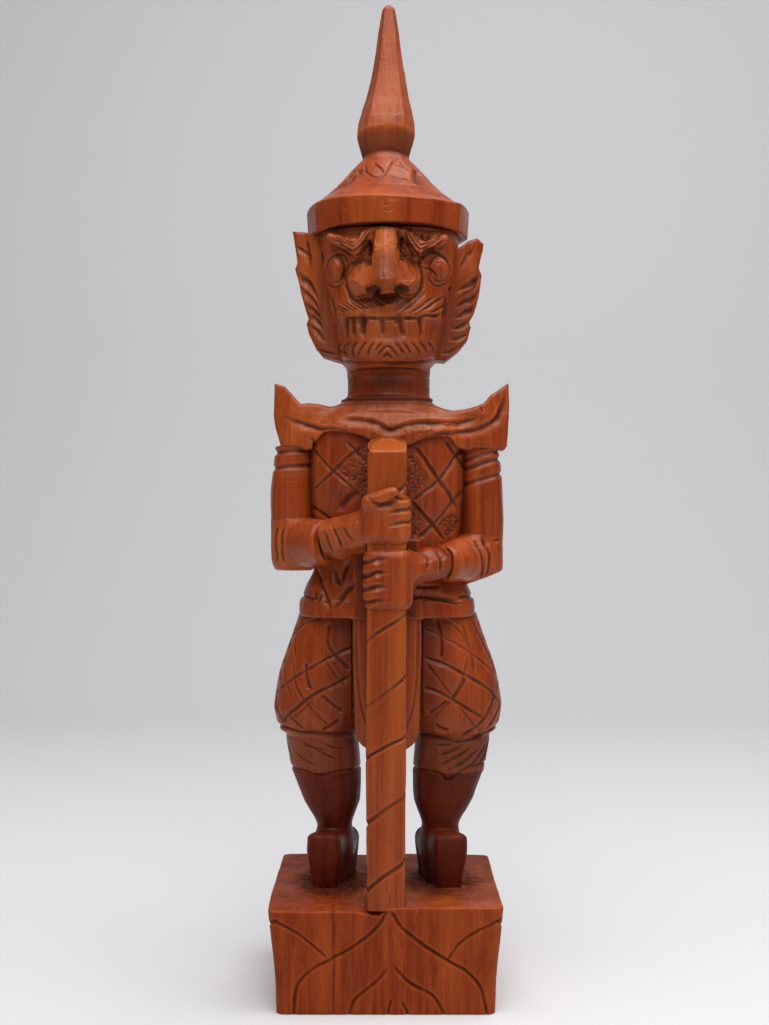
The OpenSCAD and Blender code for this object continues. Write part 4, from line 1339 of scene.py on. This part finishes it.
MOUSTACHE = [
    [(2, -30.3), (5.2, -27.8), (8.6, -24.6)], [(4.4, -30.6), (8.6, -26.8), (13, -22.2)],
    [(7.6, -30.6), (11.8, -27.4), (16.6, -23.2)], [(11, -30.2), (15.8, -26.4), (20.6, -22.2)],
    [(3.2, -28.6), (4.8, -27), (6.4, -25.8)], [(14.6, -30.2), (18.6, -27.4), (21.6, -25)],
    [(-8.6, -24.6), (-6.2, -26.6), (-3.4, -28.4)], [(-11.6, -25), (-8.6, -27.2), (-5.4, -29.2)],
    [(-14.2, -24.6), (-10.8, -27.4), (-7.4, -29.8)], [(-6.8, -24.6), (-4.6, -26.4), (-2, -27.8)],
    [(-17.2, -25.4), (-14, -27.8), (-11, -29.8)], [(-19.8, -26.6), (-17, -28.4), (-14.6, -29.8)],
]
BEARD = [
    [(-3.6, -45.6), (-1.8, -43.2), (0.1, -41.8), (2.2, -43.4), (4.2, -45.8)],
    [(-4.6, -40.2), (-6.2, -42.4), (-7, -45.4)], [(-7.4, -39.8), (-9.2, -42.2), (-10.4, -45.2)],
    [(-10.4, -39.6), (-12.2, -41.6), (-12.4, -44), (-11.2, -45.4)],
    [(-13, -39.6), (-15.2, -41), (-15.8, -42.8), (-14.2, -44.2)],
    [(-17, -39.4), (-17.6, -41.4), (-16.4, -43)], [(-2.2, -40.4), (-3.4, -42.2), (-4.4, -43.6)],
    [(3, -40.6), (4.4, -42.2), (5.8, -44.4)], [(5.6, -40.2), (7.2, -42.2), (8.4, -44.8)],
    [(8.6, -40), (10.4, -42), (11.6, -44.6)], [(11.6, -39.8), (13.4, -41.6), (14.4, -44)],
    [(14.6, -39.6), (16.4, -41.2), (16.8, -43.2)], [(-1.6, -46), (0.2, -44.6), (2, -46.2)],
]
CHEEKS = [
    [(-24, -5.6), (-23.6, -9.4), (-24, -12)], [(23.4, -18.6), (22.8, -20.6)],
    [(-20.6, -22.4), (-19.4, -26.4), (-18.2, -31)], [(21.4, -22), (21.2, -26), (20.2, -31)],
]
MOUTH = [
    (-15.2, -30.9), (-13.7, -31.8), (-5, -32.1), (5, -32.1), (11, -31.9), (14, -31), (17, -30.6),
    (19.6, -29.4),
]
# The gaps between the teeth, and how wide each is beside the usual one.
TEETH = [
    ([(-14.6, -32.6), (-14.4, -38.4)], 0.9), ([(-12.3, -32.4), (-11.8, -38.6)], 1),
    ([(-8.8, -32.4), (-8.3, -38.4)], 1.3), ([(-2, -32.4), (-1.6, -38.2)], 0.9),
    ([(4.4, -32.4), (6, -38.4)], 1.3), ([(11.9, -32.2), (12.3, -38.2)], 0.9),
]


def head_work(c):
    c.p[:, 2] -= RIM_Z
    x, y, z = c.p.T
    front = y < 0
    c.strokes(BROWS, 0.85, 0.8, where=front, taper=0.12, lean=0.3)
    for line, width, depth in LIDS + NOSE_FOLDS:
        c.stroke(line, width, depth, where=front, taper=0.12, facing=-0.2)
    for line in MOUSTACHE:
        for shift in (0, 1.15):
            c.stroke(np.asarray(line) + (shift, 0.35 * shift), 0.62, 0.6, where=front, taper=0.25, facing=0.0)
    c.stroke(MOUTH, 1.0, 1.1, where=front, taper=0.06, facing=-0.6)
    for line, width in TEETH:
        top, foot = np.asarray(line)
        c.stroke(line, 1.2 * width, 1.3 * width, where=front, taper=0.3, facing=-0.2, ends=(False, True))
        root = 0.55 * top + 0.45 * foot
        c.stroke([top, root], 2.0 * width, 1.5 * width, where=front, taper=0.7, facing=-0.2,
                 ends=(False, True))
    c.strokes(BEARD, 0.85, 0.75, where=front, taper=0.2, facing=-0.2)
    jaw = [(-17.6, -45.0), (-10, -47.2), (0, -47.6), (10, -47.2), (18, -45.0)]
    c.stroke(jaw, 0.8, 0.6, where=front, taper=0.1, facing=-0.8)
    throat = [(-15.4, -49.8), (-8, -49.2), (2, -49.0), (10, -49.2), (16.2, -50.2)]
    c.stroke(throat, 0.8, 0.5, where=front, taper=0.2, facing=-0.3)
    ring = np.abs(z - (NECK_Z - RIM_Z + 1.2) + 0.4 * noise(c.p, 8, 101))
    c.lower(0.8 * np.clip(1 - ring / 1.0, 0, 1))
    c.fill(np.clip(1.1 - ring / 0.9, 0, 1))
    c.strokes(CHEEKS, 0.9, 0.7, where=front, taper=0.2, facing=-0.1)
    for k in range(-6, 7):
        bend = 1.2 * (-1) ** k
        strand = [(3.4 * k, -1), (3.5 * k + bend, -12), (3.4 * k - bend, -24), (3.0 * k + bend, -36),
                  (2.7 * k, -45)]
        c.stroke(strand, 1.0, 0.8, "back", where=y > 6, taper=0.1, lean=0.3)
    c.stroke([(-18, -44.6), (0, -47), (18, -44.6)], 1.2, 1.0, "back", where=y > 6, taper=0.1)
    # Painted shade under the chin, under the cap's edge and in the mouth's corners; the lower face is also a
    # little darker.
    neck = (z < -48) & front
    c.darken(0.75 * neck * np.clip(1 - np.hypot(x / 9.0, (z + 52.5) / 5.5), 0, 1) ** 0.6)
    c.darken(0.5 * ramp(z, -2.2, -0.4) * (y < 0))
    c.darken(0.22 * front * ramp(-z, 30, 34))
    for corner in (-12.8, 13.4):
        c.darken(0.6 * front * np.clip(1.2 - np.hypot((x - corner) / 2.8, (z + 40.6) / 2.2), 0, 1))
    ridge = front * ramp(-np.abs(x + 0.7), -5.0, -3.6) * ramp(-y, 27.5, 29) * (z > -24)
    c.darken(0.5 * ridge * ramp(-z, 6, 13))
    worn = (np.abs(x + 0.6) < 4.2) & (z > -10) & (z < -0.5) & (y < -26)
    c.wear_and_highlight(worn * np.clip(0.4 + 1.2 * noise(c.p, (1.0, 1.0, 2.2), 107), 0, 1))
    # Painted shade in the nostrils.
    for nostril in NOSTRILS:
        c.darken(ramp(-ball(c.p, nostril, (3.0, 4.4, 1.6)), -0.5, 0.1))
    c.facets(3.4, 0.45, 106, where=(y < -26) & (z > -23) & (z < -1))
    by_eyes = (np.abs(x) > 12) & (z > -20) & (z < -4) & (y < -14)
    c.fill(0.3 * (np.maximum(noise(c.p, (1.6, 1.6, 2.2), 102), 0) * by_eyes))
    c.facets(3.0, 0.2, 103, where=front & (z > -47))
    c.facets(6.0, 0.12, 104, where=~front)
    c.roughen(0.08, (2, 2, 3), 105)
    c.p[:, 2] += RIM_Z


EAR_RIGHT = [
    (-18, -2), (-27.6, 1.6), (-34.4, 2.4), (-33.6, -3), (-32.7, -9.2), (-33.6, -11.6), (-32.4, -15.5),
    (-31.4, -20), (-30.9, -22), (-29.4, -27.4), (-28.6, -29.6), (-29.4, -31.6), (-28.3, -35.5),
    (-26, -40.3), (-23.4, -43.4), (-17, -45.4), (-12, -44), (-14, -20),
]
EAR_LEFT = [
    (18, -4), (26, -4), (29.4, -1.2), (32.8, -0.2), (35.2, -2.4), (34.9, -4.8), (33.5, -11), (34.6, -13.8),
    (33.4, -21.8), (31.8, -27.6), (30, -30.6), (30.6, -32.9), (29.2, -37.6), (26, -41.5), (21, -45.4),
    (16.5, -45), (12, -42), (14, -20),
]


def ear_field(p, points):
    """A flame-edged ear, thickest against the head, thin at its rim and leaning back."""
    out = np.abs(p[:, 0])
    middle = -3.0 + 0.16 * np.maximum(out - 24, 0)
    thick = 6.5 - 0.20 * np.maximum(out - 24, 0)
    shape = outline(p[:, 0], p[:, 2] - RIM_Z, points)
    cup = 0.9 * np.clip(1 - np.abs(out - 29.5) / 3.2, 0, 1) * (p[:, 1] < middle)
    field = smooth_max(shape, np.abs(p[:, 1] - middle) - thick + cup, 1.6)
    return np.maximum(field, -skull(p) - 0.7)


EAR_CUTS_RIGHT = [
    ([(-33.5, -2.5), (-29.5, -5.6), (-26.6, -9)], 1, 0.6),
    ([(-33, -12.6), (-28.4, -17.2), (-24.8, -23.4)], 1.5, 1.3),
    ([(-31.8, -17.8), (-27.4, -22.6), (-24, -28.6)], 1.3, 1.2),
    ([(-30.4, -23.8), (-26.6, -27), (-23.4, -31.6)], 1.5, 1.4),
    ([(-29.4, -27.4), (-26, -30), (-22.8, -34.2)], 1.3, 1.2),
    ([(-28.8, -31.4), (-25.4, -34.2), (-22, -38.6)], 1.1, 0.9),
    ([(-25.4, -41), (-21.4, -42.4), (-17.4, -43.2)], 1.1, 0.9),
    ([(-29.4, 0.5), (-28.4, -6), (-27.6, -12)], 1.1, 0.7),
]
EAR_CUTS_LEFT = [
    ([(34.2, -12.8), (30.8, -16.8), (25.6, -20.2)], 1.7, 1.5),
    ([(33.2, -19.8), (29.8, -23.2), (25, -26)], 1.6, 1.5),
    ([(31.6, -25), (28.2, -28.2), (24.4, -30.2)], 1.6, 1.5),
    ([(30, -30.6), (27, -32.8), (23.6, -34)], 1.4, 1.3),
    ([(29.6, -35.4), (26.4, -37), (22.6, -38)], 1.2, 1),
    ([(27.4, -39.4), (23.6, -41.6), (19.4, -42.8)], 1.1, 0.9),
    ([(31.8, -3.6), (28.8, -7.6), (26.4, -13)], 1.2, 0.7),
    ([(33.4, -15.8), (30, -19.6), (26, -22.6)], 0.9, 0.7),
]


def ear_work(c, cuts):
    c.p[:, 2] -= RIM_Z
    for line, width, depth in cuts:
        c.stroke(line, 1.05 * width, 1.2 * depth, "front", taper=0.35, lean=0.4)
        c.stroke(line, 0.85 * width, 0.7 * depth, "back", taper=0.35, lean=0.4)
    x, y, z = c.p.T
    # Painted shade where the ear meets the face; the ear is also darker towards the bottom.
    c.darken(0.55 * ramp(-np.abs(x), -26.2, -23.2) * (y < 0))
    c.darken(0.3 * ramp(-z, 12, 30))
    c.facets(3.4, 0.12, 111)
    c.roughen(0.08, (2, 2, 3), 112)
    c.p[:, 2] += RIM_Z


CAP_CORNERS = 12


def corner_radius(p, share):
    """How far out a point is, measured so that a ring of flat sides takes the given share of the whole."""
    across = np.hypot(p[:, 0], p[:, 1])
    angle = np.arctan2(p[:, 0], -p[:, 1])
    turn = math.pi / CAP_CORNERS
    local = (angle + turn) % (2 * turn) - turn
    flat = across * np.cos(turn - np.abs(local)) / math.cos(turn / 2)
    return across * (1 - share) + flat * share


# How high the cone stands over the band's lower edge at each distance from its middle.
CONE = [(0, 34), (8, 30.5), (9.2, 28.6), (13.3, 24.4), (17.2, 20), (21.8, 15.6), (26.4, 12), (29.5, 10.2)]


def cap_field(p):
    """A soft-cornered band that leans out a little, under a low cone."""
    p = p - np.array([0.45, 0, 0])
    dz = p[:, 2] - RIM_Z
    angular = 0.45 * ramp(-dz, -16, -9) + 0.12
    r = corner_radius(p, angular)
    band = r - (CROWN_R - 0.5) - 0.07 * dz - 0.25 * noise(p, (16, 16, 30), 121)
    top = np.interp(corner_radius(p + np.array([0.8, 0, 0]), angular), *zip(*CONE))
    lip = 0.5 * noise(p * np.array([1, 1, 0]), 10, 122) * ramp(r, 20, 27)
    cone = (dz - top + lip) * 0.72
    field = smooth_max(band, cone, 0.6)
    field = smooth_max(field, dz - (CROWN_Z - RIM_Z) - 0.2, 0.5)
    return smooth_max(field, 0.8 * ramp(-p[:, 1], 8, 26) - dz, 0.8)


# What is cut into each quarter of the cap's cone: a line, its width and depth.
CAP_LEAF = [
    ([(-8, 26.6), (-7.6, 22.2), (-4.6, 19.2), (-1.4, 19.8), (0.1, 22.2), (2.2, 26), (4, 28.4)], 1, 0.85),
    ([(-5.2, 26.2), (-3.6, 24.2), (-2, 22.4), (-0.4, 19.6)], 0.9, 0.75),
    ([(-17.8, 16.4), (-13.4, 19.6), (-8.6, 23.6)], 1.7, 1.3),
    ([(0.4, 19.9), (4.4, 18.6), (8.8, 18.2)], 1, 0.7), ([(9, 21.8), (10.6, 18)], 0.9, 0.6),
    ([(4.6, 27), (6.4, 24), (8.8, 21.8)], 0.8, 0.5), ([(-12.8, 25), (-11.4, 22)], 0.8, 0.4),
]
CAP_NICKS = [
    [(-17, 8.4), (-14.6, 6.9)], [(-14.8, 6.6), (-13.4, 5.2)], [(-2.4, 7.4), (-0.4, 6.4), (1.6, 7)],
    [(-1.6, 5.2), (0.4, 4.4), (2.2, 5.6)], [(-1.4, 8.6), (-0.6, 7)], [(-18.5, 3.4), (-17.5, 4.6)],
]


def cap_work(c):
    c.p[:, 2] -= RIM_Z
    for line, width, depth in CAP_LEAF:
        c.stroke(line, 0.8 * width, depth, taper=0.2, lean=0.5 if width > 1.5 else 0.0, dark=0.75)
    for turn in (90, 180, 270):
        a = math.radians(turn)
        u = c.p[:, 0] * math.cos(a) + c.p[:, 1] * math.sin(a)
        v = c.p[:, 2]
        facing = -(-c.n[:, 0] * math.sin(a) + c.n[:, 1] * math.cos(a))
        for line, width, depth in CAP_LEAF:
            c.stroke(line, 0.8 * width, depth, uv=(u, v), where=facing > 0.15, taper=0.2, dark=0.75)
    x, y, z = c.p.T
    lip = np.exp(-((z - 10.8) / 0.8) ** 2) * (np.hypot(x, y) > 25.5)
    c.wear_and_highlight(lip * np.clip(0.9 + 0.5 * noise(c.p, (5, 5, 2), 123), 0, 1))
    c.strokes(CAP_NICKS, 0.5, 0.25, dark=0.25)
    # Painted shade under the cap's edge and round the finial's foot.
    under = (c.n[:, 2] < -0.6) & (np.hypot(x, y) < 27.5)
    c.darken(0.75 * under)
    c.darken(0.55 * ramp(z, 28.6, 30.4))
    c.facets(6.5, 0.10, 124)
    c.roughen(0.06, (2, 2, 8), 125)
    c.p[:, 2] += RIM_Z


# The finial's half width at shares of its height.
FINIAL_R = [
    (-0.08, 8.2), (0, 9.2), (0.05, 10.1), (0.1, 10.7), (0.15, 10.7), (0.2, 10.4), (0.24, 9.9), (0.3, 9.1),
    (0.36, 8.1), (0.5, 6.5), (0.65, 5.1), (0.82, 3.9), (0.93, 2.9), (0.97, 2.4), (1, 1.2),
]


def finial_field(p):
    """A knife-cut bud: flat sides that meet in soft corners and run up into a blunt point."""
    share = (p[:, 2] - CROWN_Z) / (TIP_Z - CROWN_Z)
    r = np.interp(share, *zip(*FINIAL_R))
    x = p[:, 0] - np.interp(share, [0, 0.15, 0.5, 1], [-0.5, -0.3, 0.5, 0.65])
    y = p[:, 1]
    front = np.abs(y) * 1.36 / np.interp(share, [-0.08, 0, 0.15], [0.74, 0.80, 1.0]) + 0.012 * x ** 2
    right = np.abs(x * 0.887 + y * 0.462) * 1.125
    left = np.abs(x * 0.887 - y * 0.462) * 1.125
    side = (smooth_max(smooth_max(front, right, 0.35), left, 0.35) - r) * 0.8
    field = smooth_max(side, p[:, 2] - TIP_Z, 0.8)
    return smooth_max(field, -cap_field(p) - 0.6, 0.3)


def finial_work(c):
    h = c.p[:, 2] - CROWN_Z
    c.wear_and_highlight(0.8 * (c.p[:, 1] < 0) * np.exp(-((h - 8.0) / 0.7) ** 2))
    # Painted shade at the finial's foot.
    c.darken(0.45 * ramp(-h, -7.5, -5.5) + 0.25 * ramp(-h, -3, 1))
    c.facets(4.5, 0.10, 131)
    c.roughen(0.06, (1.6, 1.6, 12), 132)


# ---------------------------------------------------------------- the pieces

DOWELS = ["foot_dowels", "hip_dowels", "shoulder_dowels", "elbow_dowels", "neck_dowel", "crown_dowel",
          "ear_pegs"]


def build():
    foot = BASE_Z - 1
    waist = HEM_Z + 1
    boots = (DARK_SHADED_BOOT_TEAK, BASE_Z + 40.5)
    carved("base", base_field, (-BASE_W / 2 - 1.2, -BASE_D / 2, 0), (BASE_W / 2, BASE_D / 2, BASE_Z + 1),
           0.42, ["base_block"], BASE_TEAK, base_work)
    carved("club", staff_field, (-8.6, -39, foot), (8, -22, STAFF_TOP + 2), 0.30,
           ["staff"], STAFF_TEAK, staff_work)
    carved("right_leg_piece", leg_field, (-42, -16, foot), (-1.5, 22, waist), 0.33,
           ["right_leg"], BODY_TEAK, right_leg_work, boots)
    carved("left_leg_piece", lambda p: leg_field(p, 0.35), (1.5, -16, foot), (42, 22, waist), 0.33,
           ["left_leg"], BODY_TEAK, left_leg_work, boots, left=True)
    carved("apron", apron_field, (-13.5, -21, APRON_Z - 1), (13.5, -11, waist), 0.36,
           ["apron_panel"], LIT_APRON_TEAK, apron_work)
    carved("coat", torso_field, (-34, -22, HEM_Z - 1), (34, 22, CHEST_Z + 5), 0.36,
           ["torso"], BODY_TEAK, torso_work)
    carved("collar", collar_field, (-43, -21, CHEST_Z - 6), (46, 21, CHEST_Z + 22), 0.34,
           ["shoulder_collar"], PALE_LIT_TEAK, collar_work)
    carved("right_arm", lambda p: upper_arm_field(p, RIGHT_ELBOW_Z), (-44, -12, RIGHT_ELBOW_Z - 2),
           (-26, 12, CHEST_Z), 0.33, ["right_upper_arm"], BODY_TEAK, right_arm_work)
    carved("left_arm", lambda p: upper_arm_field(p, LEFT_ELBOW_Z), (26, -12, LEFT_ELBOW_Z - 2),
           (44, 12, CHEST_Z), 0.33, ["left_upper_arm"], BODY_TEAK, left_arm_work, left=True)
    carved("right_sleeve", lambda p: forearm_field(p, *RIGHT_ARM), (-44, -30, 148), (-15, 12, 173), 0.33,
           ["right_forearm"], PALE_LIT_TEAK, right_sleeve_work)
    carved("left_sleeve", lambda p: forearm_field(p, *LEFT_ARM), (15, -30, 142), (44, 12, 167), 0.33,
           ["left_forearm"], PALE_LIT_TEAK, left_sleeve_work, left=True)
    carved("right_fist", lambda p: hand_field(p, True), (-28, -41, 153), (10, -14, 181), 0.30,
           ["right_hand"], PALE_LIT_TEAK, right_hand_work)
    carved("left_fist", lambda p: hand_field(p, False), (-10, -41, 134), (28, -14, 163), 0.30,
           ["left_hand"], BODY_TEAK, left_hand_work, left=True)
    # The face takes the lighter, partly painted-light teak; the jaw and neck below NECK_Z + 11.5 take the
    # darker body teak.
    carved("mask", head_field, (-28, -36, NECK_Z - 1), (29, 27, RIM_Z + 1), 0.36,
           ["head"], PALE_LIT_TEAK, head_work, (BODY_TEAK, NECK_Z + 11.5))
    carved("right_ear_piece", lambda p: ear_field(p, EAR_RIGHT), (-36, -10, RIM_Z - 47), (-13, 8, RIM_Z + 4),
           0.32, ["right_ear"], PALE_LIT_TEAK, lambda c: ear_work(c, EAR_CUTS_RIGHT))
    carved("left_ear_piece", lambda p: ear_field(p, EAR_LEFT), (13, -10, RIM_Z - 47), (37, 8, RIM_Z + 3),
           0.32, ["left_ear"], PALE_LIT_TEAK, lambda c: ear_work(c, EAR_CUTS_LEFT))
    carved("cap", cap_field, (-32, -32, RIM_Z - 1), (32, 32, CROWN_Z + 1), 0.36,
           ["crown_cap"], BODY_TEAK, cap_work)
    carved("finial", finial_field, (-13, -12, CROWN_Z - 6), (13, 12, TIP_Z + 1), 0.30,
           ["crown_finial"], PALE_LIT_TEAK, finial_work)
    for node in DOWELS:
        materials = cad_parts[node].data.materials
        materials.clear()
        materials.append(DOWEL)


build()
